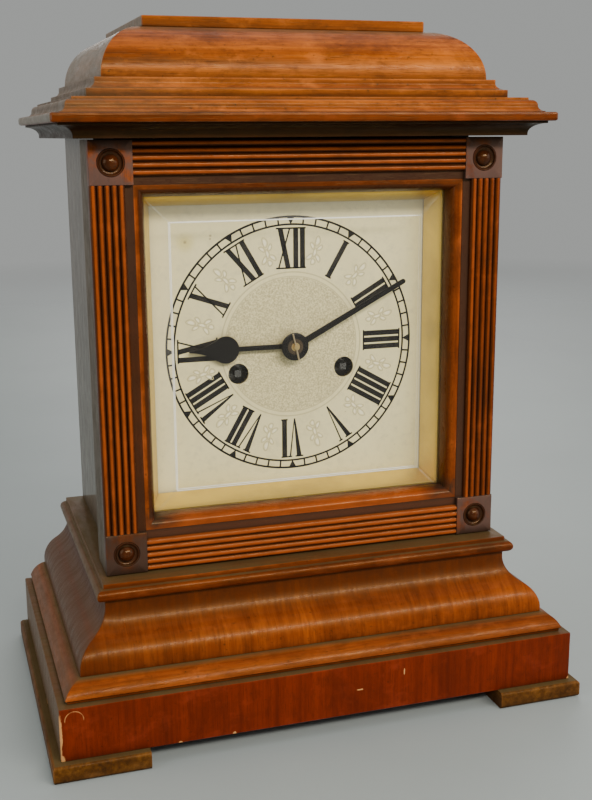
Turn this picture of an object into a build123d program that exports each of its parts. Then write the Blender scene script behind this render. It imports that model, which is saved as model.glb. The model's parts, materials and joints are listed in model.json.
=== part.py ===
from build123d import *
import math
import os

# Upright mantel clock with a reeded door, a stepped cornice and an eight-day striking movement.
# Millimetres. +X right, +Y to the back, +Z up. The origin is under the middle of the feet.

# Base
PLINTH_WIDTH = 269.6
PLINTH_DEPTH = 173.6
PLINTH_HEIGHT = 26.5
PLINTH_BOARD = 12.0
FOOT_OVERHANG = 4.4
FOOT_WIDTH = 46.5
FOOT_HEIGHT = 9.0
FOOT_ROUNDING = 1.8
OVOLO_LEDGE = 3.4
OVOLO_FILLET = 1.8
OVOLO_SET_IN = 1.0
OVOLO_HEIGHT = 7.4
OVOLO_REACH = 8.2
OVOLO_SWELL = 1.5
OGEE_SET_IN = 12.0
OGEE_FILLET = 2.2
OGEE_HEIGHT = 25.8
OGEE_REACH = 15.4
OGEE_NECK = 3.0
CAP_REACH = 13.6
CAP_BULLNOSE = 5.9
CAP_STEP = 2.2
CAP_STEP_SET_IN = 3.6
STRIP_DEPTH = 26.0

# Case
CASE_WIDTH = 196.0
CASE_HEIGHT = 210.4
SIDE_BOARD = 10.0
NOTCH_RADIUS = 8.0
NOTCH_OFFSET = 3.0
BACK_INSET = 5.0
BACK_BOARD = 8.0
BACK_STILE = 20.0
BACK_RAIL = 18.0
BACK_GAP = 0.8
BACK_PIN_RADIUS = 1.25
BACK_PIN_LENGTH = 16.0
KNOB_RADIUS = 4.5
KNOB_HEIGHT = 4.0
JOINT_GAP = 0.2

# Cornice
CORNICE_SETBACK = 3.0
BED_HEIGHT = 6.9
BED_REACH = 14.2
BED_TOP_REACH = 21.4
BED_FILLET = 1.1
CORNICE_BOARD = 4.2
CORNICE_REACH = 25.0
CYMA_REACH = 20.4
CYMA_LEDGE = 0.5
CYMA_COVE = 2.8
CYMA_OVOLO = 2.6
CYMA_SET_IN = 0.8
CYMA_FILLET = 1.2
UPPER_REACH = 6.6
UPPER_BAND = 3.8
UPPER_COVE = 3.2
UPPER_SET_IN = 4.6
UPPER_FILLET = 1.9
DOME_REACH = -1.4
DOME_HEIGHT = 24.2
SLAB_REACH = -25.4
SLAB_HEIGHT = 5.3

# Front door
DOOR_WIDTH = 209.0
DOOR_HEIGHT = 209.4
DOOR_THICKNESS = 25.4
DOOR_GAP = 0.4
BLOCK_SIZE = 20.5
BLOCK_PROUD = 0.4
STRIP_THICKNESS = 5.0
REED_COUNT = 5
REED_PITCH = 3.3
REED_HEIGHT = 1.4
FILLET_SINK = 2.4
SIGHT_WIDTH = 6.0
SIGHT_FACE = 2.0
SIGHT_SINK = 2.6
SIGHT_LIP = 1.6
GLASS_SINK = 12.3
GLASS_THICKNESS = 3.0
GLASS_BEVEL = 12.0
GLASS_EDGE = 1.8
GLASS_GAP = 0.5
SLIP_INNER_STEP = 5.2
BOSS_RADIUS = 6.3
BOSS_SINK = 2.0
BOSS_RIM = 0.5
BOSS_DISH = 1.3
BUTTON_RADIUS = 4.2
BUTTON_HEIGHT = 3.1
BOSS_FIT = 0.05
HINGE_LENGTH = 30.0
HINGE_FROM_END = 28.0
KNUCKLE_RADIUS = 2.2
KNUCKLE_GAP = 0.2
LEAF_THICKNESS = 1.2
LEAF_WIDTH = 8.0
PIN_RADIUS = 1.0
RUNNING_FIT = 0.05
CLEARANCE = 0.3

# Dial and hands
DIAL_SIZE = 158.0
DIAL_THICKNESS = 1.0
DIAL_GAP = 1.0
DIAL_BOARD = 8.0
DIAL_BOARD_OPENING = 140.0
WINDING_X = 28.8
WINDING_DROP = 13.5
WINDING_HOLE = 5.4
DIAL_CENTRE_HOLE = 5.0
MINUTE_LENGTH = 68.5
MINUTE_ROOT = 3.3
MINUTE_TIP = 2.5
MINUTE_BOSS = 7.2
MINUTE_ANGLE = 62.4
HOUR_LENGTH = 55.0
HOUR_STEM = 2.5
HOUR_BULB = 7.0
HOUR_BULB_AT = 36.0
HOUR_TIP = 1.0
HOUR_ANGLE = 270.0
HOUR_BOSS = 6.0
HAND_THICKNESS = 0.8
HOUR_LIFT = 2.6
MINUTE_LIFT = 2.2
BOSS_HEIGHT = 1.4
HAND_PIN_RADIUS = 0.45
HAND_PIN_LENGTH = 14.0
HAND_PIN_TURN = -13.0

# Movement frame
MOTION_SPACE = 10.0
PLATE = 2.0
PLATE_GAP = 36.0
PLATE_WIDTH = 120.0
PLATE_BELOW = 46.0
PLATE_ABOVE = 62.0
PILLAR_RADIUS = 3.5
PILLAR_INSET = 6.0
SEAT_BOARD = 10.0
END_SHAKE = 0.2
PIVOT_RADIUS = 0.8
ARBOR_RADIUS = 1.4

# Wheels: teeth, leaves and modules
GREAT_TEETH = 72
SECOND_LEAVES = 12
GREAT_MODULE = 0.70
SECOND_TEETH = 60
CENTRE_LEAVES = 12
SECOND_MODULE = 0.55
CENTRE_TEETH = 84
THIRD_LEAVES = 7
CENTRE_MODULE = 0.40
THIRD_TEETH = 70
ESCAPE_LEAVES = 7
THIRD_MODULE = 0.36
ESCAPE_TEETH = 42
CANNON_LEAVES = 14
MINUTE_TEETH = 42
CANNON_MODULE = 0.60
MINUTE_LEAVES = 12
HOUR_TEETH = 48
THIRD_TURN = 115.0
PIN_WHEEL_TURN = 118.0
WHEEL = 1.5
WHEEL_HUB = 2.8
PINION_OVERLAP = 1.0
SECOND_PLANE = 2.5
GREAT_PLANE = 7.0
THIRD_PLANE = 20.0
ESCAPE_PLANE = 26.0
CENTRE_PLANE = 30.5
MOTION_CLEARANCE = 1.0
MOTION_STEP = 3.5
CANNON_RADIUS = 2.2
CENTRE_FRONT_RADIUS = 1.25
PIPE_WALL = 0.9

# Barrels and winding work
DRUM_RADIUS = 22.5
DRUM_HEIGHT = 20.0
DRUM_WALL = 1.2
WINDING_RADIUS = 2.5
WINDING_REAR_PIVOT = 1.5
WINDING_CORE = 4.5
WINDING_SQUARE = 3.4
WINDING_SINK = 1.0
CLICK_WHEEL_RADIUS = 8.0
CLICK_WHEEL_TEETH = 24
CLICK_WHEEL_DEPTH = 1.1
CLICK_WHEEL_LIFT = 0.5
CLICK_PIVOT_RADIUS = 1.2
CLICK_DISTANCE = 14.0
CLICK_BOSS = 2.6
SPRING_BAND = 0.5
SPRING_PITCH = 2.2
SPRING_TURNS = 6

# Escapement and pendulum
ESCAPE_RADIUS = 10.5
ESCAPE_TOOTH = 1.8
ANCHOR_RISE = 15.0
ANCHOR_WIDTH = 2.4
PALLET_CLEARANCE = 1.6
ANCHOR_HUB = 2.4
CRUTCH_LENGTH = 32.0
CRUTCH_WIDTH = 2.4
PENDULUM_SET_BACK = 7.5
PENDULUM_LENGTH = 124.0
ROD_RADIUS = 1.0
BOB_RADIUS = 14.0
BOB_THICKNESS = 9.0
NUT_RADIUS = 4.0
NUT_HEIGHT = 3.5
SPRING_HEAD_RADIUS = 1.2
SPRING_STRIP = 0.4
SPRING_LENGTH = 14.0
SPRING_WIDTH = 5.0
SPRING_BLOCK = 4.0
COCK_WIDTH = 14.0

# Gong and hammer
GONG_WIRE = 3.0
GONG_PITCH = 4.0
GONG_BOSS = 12.0
GONG_LEAD = 3.0
GONG_FIRST_RADIUS = 9.5
GONG_SECOND_RADIUS = 18.0
GONG_HALF_TURNS = 9
GONG_X = -4.0
GONG_FOOT_CLEARANCE = 5.5
GONG_SHARE = 0.245
STAND_SHARE = 0.35
POST_SHARE = 0.29
STAND_POST = 10.0
STAND_FOOT_WIDTH = 40.0
STAND_FOOT_HEIGHT = 5.0
PIN_WHEEL_RADIUS = 11.0
PIN_WHEEL_PLANE = 3.0
LIFT_PINS = 8
LIFT_PIN_RADIUS = 0.8
LIFT_PIN_LENGTH = 2.0
LIFT_PIN_INSET = 2.0
HAMMER_X = -52.0
HAMMER_RISE = 34.0
HAMMER_ARM = 2.0
HAMMER_HEAD_RADIUS = 4.0
HAMMER_HEAD_LENGTH = 9.0
HAMMER_GAP = 1.5
HAMMER_TAIL = 2.0

# Levels, from the floor up
Z_PLINTH = FOOT_HEIGHT
Z_OVOLO = Z_PLINTH + PLINTH_HEIGHT
Z_OGEE = Z_OVOLO + OVOLO_FILLET + OVOLO_HEIGHT
Z_CAP = Z_OGEE + OGEE_FILLET + OGEE_HEIGHT + OGEE_NECK
Z_CASE = Z_CAP + CAP_BULLNOSE + CAP_STEP
Z_BED = Z_CASE + CASE_HEIGHT
Z_CORNICE = Z_BED + BED_HEIGHT
Z_CYMA = Z_CORNICE + CORNICE_BOARD
Z_UPPER = Z_CYMA + CYMA_LEDGE + CYMA_COVE + CYMA_OVOLO + CYMA_FILLET
Z_DOME = Z_UPPER + UPPER_BAND + UPPER_COVE + UPPER_FILLET
Z_SLAB = Z_DOME + DOME_HEIGHT
Z_DIAL = Z_CASE + DOOR_GAP + DOOR_HEIGHT / 2
GONG_LARGEST = GONG_SECOND_RADIUS + (GONG_HALF_TURNS - 1) * GONG_PITCH / 2
GONG_LOW = Z_CASE + STAND_FOOT_HEIGHT + GONG_FOOT_CLEARANCE
GONG_HEIGHT = GONG_LOW + GONG_WIRE / 2 + GONG_LARGEST + GONG_LEAD + GONG_BOSS / 2

# Planes, from the front to the back
CASE_HALF = CASE_WIDTH / 2
PLINTH_HALF = PLINTH_WIDTH / 2
BACK = (PLINTH_DEPTH + FOOT_OVERHANG) / 2
PLINTH_FRONT = BACK - PLINTH_DEPTH
BASE_CORNER = PLINTH_FRONT + PLINTH_HALF
DOOR_FRONT = BASE_CORNER - CASE_HALF
CORNICE_CORNER = DOOR_FRONT + CASE_HALF + CORNICE_SETBACK
FRAME_FRONT = DOOR_FRONT + STRIP_THICKNESS
DOOR_BACK = DOOR_FRONT + DOOR_THICKNESS
CASE_FRONT = DOOR_BACK + DOOR_GAP
GLASS_FRONT = DOOR_FRONT + GLASS_SINK
GLASS_BACK = GLASS_FRONT + GLASS_EDGE
DIAL_FRONT = DOOR_BACK + DIAL_GAP
DIAL_BACK = DIAL_FRONT + DIAL_THICKNESS
PLATE_FRONT = DIAL_BACK + MOTION_SPACE
INNER_FRONT = PLATE_FRONT + PLATE
INNER_BACK = INNER_FRONT + PLATE_GAP
PLATE_BACK = INNER_BACK + PLATE
PENDULUM_Y = PLATE_BACK + PENDULUM_SET_BACK
BOB_BACK = PENDULUM_Y + BOB_THICKNESS / 2
BACK_FRAME_BACK = BACK - BACK_INSET
BACK_FRAME_FRONT = BACK_FRAME_BACK - BACK_BOARD
GONG_ROOM = BACK_FRAME_FRONT - BOB_BACK
GONG_Y = BOB_BACK + GONG_SHARE * GONG_ROOM

CASE_INNER = CASE_HALF - SIDE_BOARD
DOOR_HALF = DOOR_WIDTH / 2
DOOR_HALF_HEIGHT = DOOR_HEIGHT / 2
MEMBER_HALF = DOOR_HALF - BLOCK_SIZE
MEMBER_HALF_HEIGHT = DOOR_HALF_HEIGHT - BLOCK_SIZE
SIGHT_HALF = MEMBER_HALF - SIGHT_WIDTH
SIGHT_HALF_HEIGHT = MEMBER_HALF_HEIGHT - SIGHT_WIDTH


# Small building functions
def block(x0, x1, y0, y1, z0, z1):
    """A box between two corners."""
    return Pos((x0 + x1) / 2, (y0 + y1) / 2, (z0 + z1) / 2) * Box(x1 - x0, y1 - y0, z1 - z0)


def rod(radius, y0, y1, x=0.0, z=0.0):
    """A round bar along Y."""
    return Pos(x, (y0 + y1) / 2, z) * Rot(90, 0, 0) * Cylinder(radius, y1 - y0)


def post(radius, z0, z1, x=0.0, y=0.0):
    """A round bar along Z."""
    return Pos(x, y, (z0 + z1) / 2) * Cylinder(radius, z1 - z0)


def slab_of(points, y0, y1):
    """A flat plate: a closed outline of (x, z) points, thick from y0 to y1."""
    outline = Plane.XZ * make_face(Polyline(*points, close=True))
    return Pos(0, y1, 0) * extrude(outline, y1 - y0)


def bar(start, end, width, y0, y1):
    """A straight flat bar between two (x, z) points."""
    dx = end[0] - start[0]
    dz = end[1] - start[1]
    length = math.hypot(dx, dz)
    nx = -dz / length * width / 2
    nz = dx / length * width / 2
    corners = [
        (start[0] + nx, start[1] + nz),
        (start[0] - nx, start[1] - nz),
        (end[0] - nx, end[1] - nz),
        (end[0] + nx, end[1] + nz),
    ]
    return slab_of(corners, y0, y1)


def polar(radius, angle, centre=(0.0, 0.0)):
    """The (x, z) point at an angle in degrees, counted from +X towards +Z."""
    turn = math.radians(angle)
    return (centre[0] + radius * math.cos(turn), centre[1] + radius * math.sin(turn))


def quarter(start, end, bulge):
    """A quarter round between two points. bulge 1 curves to (start x, end z), -1 to (end x, start z)."""
    centre = (end[0], start[1]) if bulge > 0 else (start[0], end[1])
    rx = start[0] - end[0]
    rz = end[1] - start[1]
    share = math.sqrt(0.5)
    if bulge > 0:
        middle = (centre[0] + rx * share, centre[1] + rz * share)
    else:
        middle = (centre[0] - rx * share, centre[1] - rz * share)
    return ThreePointArc(start, middle, end)


def crown(radius, rim, top):
    """Half of a spherical cap over the Y axis, from its rim to its top, both given as y."""
    height = top - rim
    sphere = (radius**2 + height**2) / (2 * height)
    half_turn = math.asin(min(radius / abs(sphere), 1.0)) / 2
    middle = (abs(sphere) * math.sin(half_turn), top - sphere + sphere * math.cos(half_turn))
    return ThreePointArc((radius, rim), middle, (0.0, top))


def closing_rail(inner, z0, z1):
    """A plain rail that closes a moulding at the back, between its side strips."""
    return block(-inner, inner, BACK - PLINTH_BOARD, BACK, z0, z1)


def profile(*pieces):
    """A closed face from edges and loose points in order. Points are joined by straight lines."""
    edges = []
    first = None
    last = None
    for piece in pieces:
        start = piece if isinstance(piece, tuple) else tuple(piece @ 0)[:2]
        end = piece if isinstance(piece, tuple) else tuple(piece @ 1)[:2]
        if first is None:
            first = start
        elif math.dist(last, start) > 1e-6:
            edges.append(Line(last, start))
        if not isinstance(piece, tuple):
            edges.append(piece)
        last = end
    if math.dist(last, first) > 1e-6:
        edges.append(Line(last, first))
    return make_face(edges)


def keep_below(solid, point, normal):
    """The part of a solid on the side that the normal points away from."""
    return split(solid, bisect_by=Plane(point, z_dir=normal), keep=Keep.BOTTOM)


def surround(face, corner):
    """Front, left and right strips of one moulding, mitred at the two front corners.

    The face holds (half width, height). The front strip stands where y = corner - half width.
    """
    reach = face.bounding_box().max.X
    side = Plane(origin=(0, BACK, 0), x_dir=(1, 0, 0), z_dir=(0, -1, 0)) * face
    right = extrude(side, BACK - corner + reach)
    right = keep_below(right, (0, corner, 0), (-1, -1, 0))
    left = mirror(right, about=Plane.YZ)
    across = Plane(origin=(-reach, corner, 0), x_dir=(0, -1, 0), z_dir=(-1, 0, 0)) * face
    front = extrude(across, -2 * reach)
    front = keep_below(front, (0, corner, 0), (1, 1, 0))
    front = keep_below(front, (0, corner, 0), (-1, 1, 0))
    return [front, left, right]


def window(face, half_width, half_height):
    """Four strips of one moulding round an opening, mitred at its corners, centred on the dial.

    The face holds (distance outwards from the opening's edge, y).
    """
    reach = face.bounding_box().max.X
    tall = half_height + reach
    wide = half_width + reach
    upright = Plane(origin=(half_width, 0, Z_DIAL - tall), x_dir=(1, 0, 0), z_dir=(0, 0, 1)) * face
    right = extrude(upright, 2 * tall)
    top_corner = (half_width, 0, Z_DIAL + half_height)
    low_corner = (half_width, 0, Z_DIAL - half_height)
    right = keep_below(right, top_corner, (-1, 0, 1))
    right = keep_below(right, low_corner, (-1, 0, -1))
    lying = Plane(origin=(wide, 0, Z_DIAL + half_height), x_dir=(0, 0, 1), z_dir=(-1, 0, 0)) * face
    top = extrude(lying, 2 * wide)
    top = keep_below(top, top_corner, (1, 0, -1))
    top = keep_below(top, (-half_width, 0, Z_DIAL + half_height), (-1, 0, -1))
    left = mirror(right, about=Plane.YZ)
    bottom = mirror(top, about=Plane.XY.offset(Z_DIAL))
    return [left, right, top, bottom]


def solids_of(shapes):
    """Every solid in a shape or a list of shapes."""
    if isinstance(shapes, (list, tuple)):
        return [solid for shape in shapes for solid in solids_of(shape)]
    return list(shapes.solids())


def save(name, *shapes):
    """Write one node."""
    solids = solids_of(list(shapes))
    export_step(solids[0] if len(solids) == 1 else Compound(children=solids), f"parts/{name}.step")


# Toothed wheels
def wheel_teeth(teeth, module, phase):
    """Outline of a clock wheel: straight flanks to the pitch circle, then sides that lean in to the tip.

    phase is the angle of the middle of one tooth, in degrees.
    """
    pitch_radius = module * teeth / 2
    half = 0.74 * module / pitch_radius
    tip_half = 0.24 * module / pitch_radius
    points = []
    for tooth in range(teeth):
        middle = math.radians(phase) + 2 * math.pi * tooth / teeth
        for radius, angle in (
            (pitch_radius - 1.3 * module, -half),
            (pitch_radius, -half),
            (pitch_radius + 1.0 * module, -tip_half),
            (pitch_radius + 1.0 * module, tip_half),
            (pitch_radius, half),
            (pitch_radius - 1.3 * module, half),
        ):
            points.append(polar(radius, math.degrees(middle + angle)))
    return points


def pinion_leaves(leaves, module, phase):
    """Outline of a pinion: slim leaves with radial flanks and a rounded tip, deep roots."""
    pitch_radius = module * leaves / 2
    half = 0.5 * module / pitch_radius
    points = []
    for leaf in range(leaves):
        middle = math.radians(phase) + 2 * math.pi * leaf / leaves
        for radius, angle in (
            (pitch_radius - 1.4 * module, -half),
            (pitch_radius, -half),
            (pitch_radius + 0.5 * module, -0.6 * half),
            (pitch_radius + 0.7 * module, 0.0),
            (pitch_radius + 0.5 * module, 0.6 * half),
            (pitch_radius, half),
            (pitch_radius - 1.4 * module, half),
        ):
            points.append(polar(radius, math.degrees(middle + angle)))
    return points


def toothed(points, y0, y1, centre):
    """A toothed disc at a centre (x, z)."""
    return Pos(centre[0], 0, centre[1]) * slab_of(points, y0, y1)


def towards(start, end):
    """The angle from one (x, z) point to another, in degrees."""
    return math.degrees(math.atan2(end[1] - start[1], end[0] - start[0]))


def wheel_at(centre, mate, teeth, module, y0, y1):
    """A wheel with one tooth on the line to its mate."""
    return toothed(wheel_teeth(teeth, module, towards(centre, mate)), y0, y1, centre)


def pinion_at(centre, mate, leaves, module, y0, y1):
    """A pinion with one gap on the line to its mate."""
    phase = towards(centre, mate) + 180 / leaves
    return toothed(pinion_leaves(leaves, module, phase), y0, y1, centre)


def mesh_distance(teeth, leaves, module):
    """The distance between a wheel and its pinion."""
    return module * (teeth + leaves) / 2


def arbor(centre, radius=ARBOR_RADIUS):
    """A plain arbor between the plates, with a pivot in each of them."""
    x, z = centre
    body = rod(radius, INNER_FRONT + END_SHAKE, INNER_BACK - END_SHAKE, x, z)
    return body + rod(PIVOT_RADIUS, PLATE_FRONT, PLATE_BACK, x, z)


# Places of the arbors on the plates, as (x, z)
CENTRE = (0.0, Z_DIAL)
GOING = (WINDING_X, Z_DIAL - WINDING_DROP)
STRIKE = (-WINDING_X, Z_DIAL - WINDING_DROP)
GREAT_MESH = mesh_distance(GREAT_TEETH, SECOND_LEAVES, GREAT_MODULE)
SECOND_MESH = mesh_distance(SECOND_TEETH, CENTRE_LEAVES, SECOND_MODULE)
BARREL_SPAN = math.dist(CENTRE, GOING)
SECOND_TURN = math.degrees(
    math.acos((BARREL_SPAN**2 + SECOND_MESH**2 - GREAT_MESH**2) / (2 * BARREL_SPAN * SECOND_MESH))
)
SECOND = polar(SECOND_MESH, towards(CENTRE, GOING) + SECOND_TURN, CENTRE)
THIRD = polar(mesh_distance(CENTRE_TEETH, THIRD_LEAVES, CENTRE_MODULE), THIRD_TURN, CENTRE)
ESCAPE_MESH = mesh_distance(THIRD_TEETH, ESCAPE_LEAVES, THIRD_MODULE)
ESCAPE = (0.0, THIRD[1] + math.sqrt(ESCAPE_MESH**2 - THIRD[0] ** 2))
ANCHOR = (0.0, ESCAPE[1] + ANCHOR_RISE)
MOTION_MESH = mesh_distance(MINUTE_TEETH, CANNON_LEAVES, CANNON_MODULE)
MINUTE = (0.0, Z_DIAL - MOTION_MESH)
HOUR_MODULE = 2 * MOTION_MESH / (HOUR_TEETH + MINUTE_LEAVES)
PIN_WHEEL = polar(GREAT_MESH, PIN_WHEEL_TURN, STRIKE)
HAMMER = (HAMMER_X, Z_DIAL + HAMMER_RISE)
GREAT_Y = INNER_FRONT + GREAT_PLANE
SECOND_Y = INNER_FRONT + SECOND_PLANE
THIRD_Y = INNER_FRONT + THIRD_PLANE
ESCAPE_Y = INNER_FRONT + ESCAPE_PLANE
CENTRE_Y = INNER_FRONT + CENTRE_PLANE
PIN_WHEEL_Y = INNER_FRONT + PIN_WHEEL_PLANE
MINUTE_Y = PLATE_FRONT - MOTION_CLEARANCE
HOUR_Y = MINUTE_Y - MOTION_STEP
RATCHET_Y = PLATE_FRONT - CLICK_WHEEL_LIFT
CLICKS = [
    (GOING, 1.0, "going"),
    (STRIKE, -1.0, "strike"),
]


def click_pivot(centre, side):
    """The click stands below its ratchet, on the outer side."""
    return polar(CLICK_DISTANCE, -90 + 40 * side, centre)


def click_nose(centre, side):
    """The click's nose, just clear of the ratchet's teeth, clockwise from its pivot."""
    return polar(CLICK_WHEEL_RADIUS + CLEARANCE, towards(centre, click_pivot(centre, side)) - 30, centre)


# Base of the case
def make_feet():
    """Two runners under the plinth, front to back, with eased edges."""
    outer = PLINTH_HALF + FOOT_OVERHANG
    right = block(outer - FOOT_WIDTH, outer, -BACK, BACK, 0, FOOT_HEIGHT)
    edges = right.edges().filter_by(Axis.Y).sort_by(Axis.X)[-2:]
    front = right.faces().sort_by(Axis.Y)[0].edges().filter_by(Axis.X)
    right = fillet(list(edges) + list(front), FOOT_ROUNDING)
    save("foot_runners", right, mirror(right, about=Plane.YZ))


def make_plinth():
    """Three mitred boards and a back board, open in the middle."""
    inner = PLINTH_HALF - PLINTH_BOARD
    top = Z_PLINTH + PLINTH_HEIGHT
    face = profile((inner, Z_PLINTH), (PLINTH_HALF, Z_PLINTH), (PLINTH_HALF, top), (inner, top))
    save("plinth_boards", *surround(face, BASE_CORNER), closing_rail(inner, Z_PLINTH, top))


def make_ovolo():
    """A strip with a swelling slope on the plinth, and a fillet set in under it."""
    outer = PLINTH_HALF - OVOLO_LEDGE
    inner = outer - STRIP_DEPTH
    shoulder = Z_OVOLO + OVOLO_FILLET
    foot = outer - OVOLO_SET_IN
    slope = math.hypot(OVOLO_REACH, OVOLO_HEIGHT)
    middle = (
        outer - OVOLO_REACH / 2 + OVOLO_SWELL * OVOLO_HEIGHT / slope,
        shoulder + OVOLO_HEIGHT / 2 + OVOLO_SWELL * OVOLO_REACH / slope,
    )
    curve = ThreePointArc((outer, shoulder), middle, (outer - OVOLO_REACH, Z_OGEE))
    face = profile((inner, Z_OVOLO), (foot, Z_OVOLO), (foot, shoulder), curve, (inner, Z_OGEE))
    save("plinth_ovolo", *surround(face, BASE_CORNER), closing_rail(inner, Z_OVOLO, Z_OGEE))


def make_ogee():
    """The large ogee: two arcs that meet on one slope, upright at the foot and at the neck."""
    foot = PLINTH_HALF - OGEE_SET_IN
    head = foot - OGEE_REACH
    start = Z_OGEE + OGEE_FILLET
    turn = 2 * math.atan(OGEE_REACH / OGEE_HEIGHT)
    radius = OGEE_HEIGHT / math.sin(turn) / 2
    middle = (foot - radius + radius * math.cos(turn), start + radius * math.sin(turn))
    low = ThreePointArc((foot, start), polar(radius, math.degrees(turn / 2), (foot - radius, start)), middle)
    neck = Z_CAP - OGEE_NECK
    bend = polar(radius, 180 + math.degrees(turn / 2), (head + radius, neck))
    high = ThreePointArc(middle, bend, (head, neck))
    inner = head - STRIP_DEPTH / 2
    face = profile((inner, Z_OGEE), (foot, Z_OGEE), low, high, (head, Z_CAP), (inner, Z_CAP))
    save("base_ogee", *surround(face, BASE_CORNER), closing_rail(inner, Z_OGEE, Z_CAP))


def make_cap():
    """The board that the case stands on: a bullnose edge under a small step, round a flat core."""
    outer = CASE_HALF + CAP_REACH
    radius = CAP_BULLNOSE / 2
    top = Z_CAP + CAP_BULLNOSE
    step = outer - CAP_STEP_SET_IN
    inner = CASE_HALF - SIDE_BOARD
    nose = ThreePointArc((outer - radius, Z_CAP), (outer, Z_CAP + radius), (outer - radius, top))
    face = profile((inner, Z_CAP), nose, (step, top), (step, Z_CASE), (inner, Z_CASE))
    core = block(-inner, inner, BASE_CORNER - inner, BACK, Z_CAP, Z_CASE)
    save("base_cap", core, *surround(face, BASE_CORNER))


# Upright part of the case
def make_sides():
    """Two side boards. The left one has a finger notch for the door, the right one lets in the hinges."""
    top = Z_CORNICE
    left = block(-CASE_HALF, -CASE_INNER, CASE_FRONT, BACK, Z_CASE, top)
    notch = Pos(-CASE_HALF - NOTCH_OFFSET, CASE_FRONT, Z_DIAL) * Sphere(NOTCH_RADIUS)
    save("case_side_left", left - notch)
    right = block(CASE_INNER, CASE_HALF, CASE_FRONT, BACK, Z_CASE, top)
    for low in hinge_levels():
        right -= block(
            CASE_HALF - LEAF_WIDTH, CASE_HALF + 1, CASE_FRONT - 1, CASE_FRONT + LEAF_THICKNESS,
            low, low + HINGE_LENGTH,
        )
    save("case_side_right", right)


def back_opening():
    """Half width, bottom and top of the opening in the back frame."""
    return CASE_INNER - BACK_STILE, Z_CASE + BACK_RAIL, Z_CORNICE - BACK_RAIL


def back_pivot():
    """Where the back door turns, as (x, y)."""
    half, _, _ = back_opening()
    return half - BACK_GAP - BACK_BOARD / 2, BACK_FRAME_FRONT + BACK_BOARD / 2


def make_back():
    """A frame let in between the sides, a door in it, two pivot pins and a knob."""
    half, low, high = back_opening()
    y0 = BACK_FRAME_FRONT
    y1 = BACK_FRAME_BACK
    stile = block(half, CASE_INNER, y0, y1, Z_CASE, Z_CORNICE)
    rails = [block(-half, half, y0, y1, Z_CASE, low), block(-half, half, y0, y1, high, Z_CORNICE)]
    x, y = back_pivot()
    pins = []
    for level in (low, high):
        pins.append(post(BACK_PIN_RADIUS, level - BACK_PIN_LENGTH / 2, level + BACK_PIN_LENGTH / 2, x, y))
    hole = post(BACK_PIN_RADIUS + RUNNING_FIT, low - BACK_PIN_LENGTH, high + BACK_PIN_LENGTH, x, y)
    rails = [rail - hole for rail in rails]
    save("back_frame", stile, mirror(stile, about=Plane.YZ), *rails)
    save("back_pivot_pins", *pins)
    z0 = low + BACK_GAP
    z1 = high - BACK_GAP
    door = block(-half + BACK_GAP, x, y0, y1, z0, z1) + post(BACK_BOARD / 2, z0, z1, x, y)
    knob_x = -half + BACK_STILE
    reach = KNOB_RADIUS / 2
    door -= hole
    door -= rod(reach, y0 + 1, y1 + 1, knob_x, Z_DIAL)
    save("back_door", door)
    knob = rod(reach, y0 + 1, y1 + KNOB_HEIGHT / 4, knob_x, Z_DIAL)
    knob += rod(KNOB_RADIUS, y1 + KNOB_HEIGHT / 4, y1 + KNOB_HEIGHT, knob_x, Z_DIAL)
    save("back_door_knob", knob)


def make_inner_boards():
    """The frame that carries the dial, and the board that the movement stands on."""
    half = DIAL_BOARD_OPENING / 2
    outer = CASE_INNER - JOINT_GAP
    y0 = DIAL_BACK
    y1 = DIAL_BACK + DIAL_BOARD
    stile = block(half, outer, y0, y1, Z_CASE, Z_CORNICE)
    low = block(-half, half, y0, y1, Z_CASE, Z_DIAL - half)
    high = block(-half, half, y0, y1, Z_DIAL + half, Z_CORNICE)
    save("dial_board", stile, mirror(stile, about=Plane.YZ), low, high)
    top = Z_DIAL - PLATE_BELOW
    save("seat_board", block(-CASE_INNER, CASE_INNER, y1, PLATE_BACK, top - SEAT_BOARD, top))


# Cornice and dome
def make_cornice():
    """Bed moulding, overhanging board, cymatium and upper moulding, each mitred round the front."""
    low = CASE_HALF + BED_REACH
    wide = CASE_HALF + BED_TOP_REACH
    inner = CASE_HALF
    cove = quarter((low, Z_BED + BED_FILLET), (wide, Z_CORNICE - BED_FILLET), 1)
    face = profile((inner, Z_BED), (low, Z_BED), cove, (wide, Z_CORNICE), (inner, Z_CORNICE))
    save("bed_moulding", *surround(face, CORNICE_CORNER))

    edge = CASE_HALF + CORNICE_REACH
    board = block(-edge, edge, CORNICE_CORNER - edge, BACK, Z_CORNICE, Z_CYMA)
    save("cornice_board", board)

    foot = CASE_HALF + CYMA_REACH
    ledge = Z_CYMA + CYMA_LEDGE
    waist = (foot - CYMA_COVE, ledge + CYMA_COVE)
    head = (waist[0] - CYMA_OVOLO, waist[1] + CYMA_OVOLO)
    set_in = head[0] - CYMA_SET_IN
    inner = set_in - STRIP_DEPTH
    face = profile(
        (inner, Z_CYMA), (foot, Z_CYMA), quarter((foot, ledge), waist, -1), quarter(waist, head, 1),
        (set_in, head[1]), (set_in, Z_UPPER), (inner, Z_UPPER),
    )
    save("cornice_cymatium", *surround(face, CORNICE_CORNER), closing_rail(inner, Z_CYMA, Z_UPPER))

    band = CASE_HALF + UPPER_REACH
    shoulder = Z_UPPER + UPPER_BAND
    head = (band - UPPER_SET_IN, shoulder + UPPER_COVE)
    inner = band - STRIP_DEPTH
    cove = quarter((band, shoulder), head, -1)
    face = profile((inner, Z_UPPER), (band, Z_UPPER), cove, (head[0], Z_DOME), (inner, Z_DOME))
    save("upper_moulding", *surround(face, CORNICE_CORNER), closing_rail(inner, Z_UPPER, Z_DOME))


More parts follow.
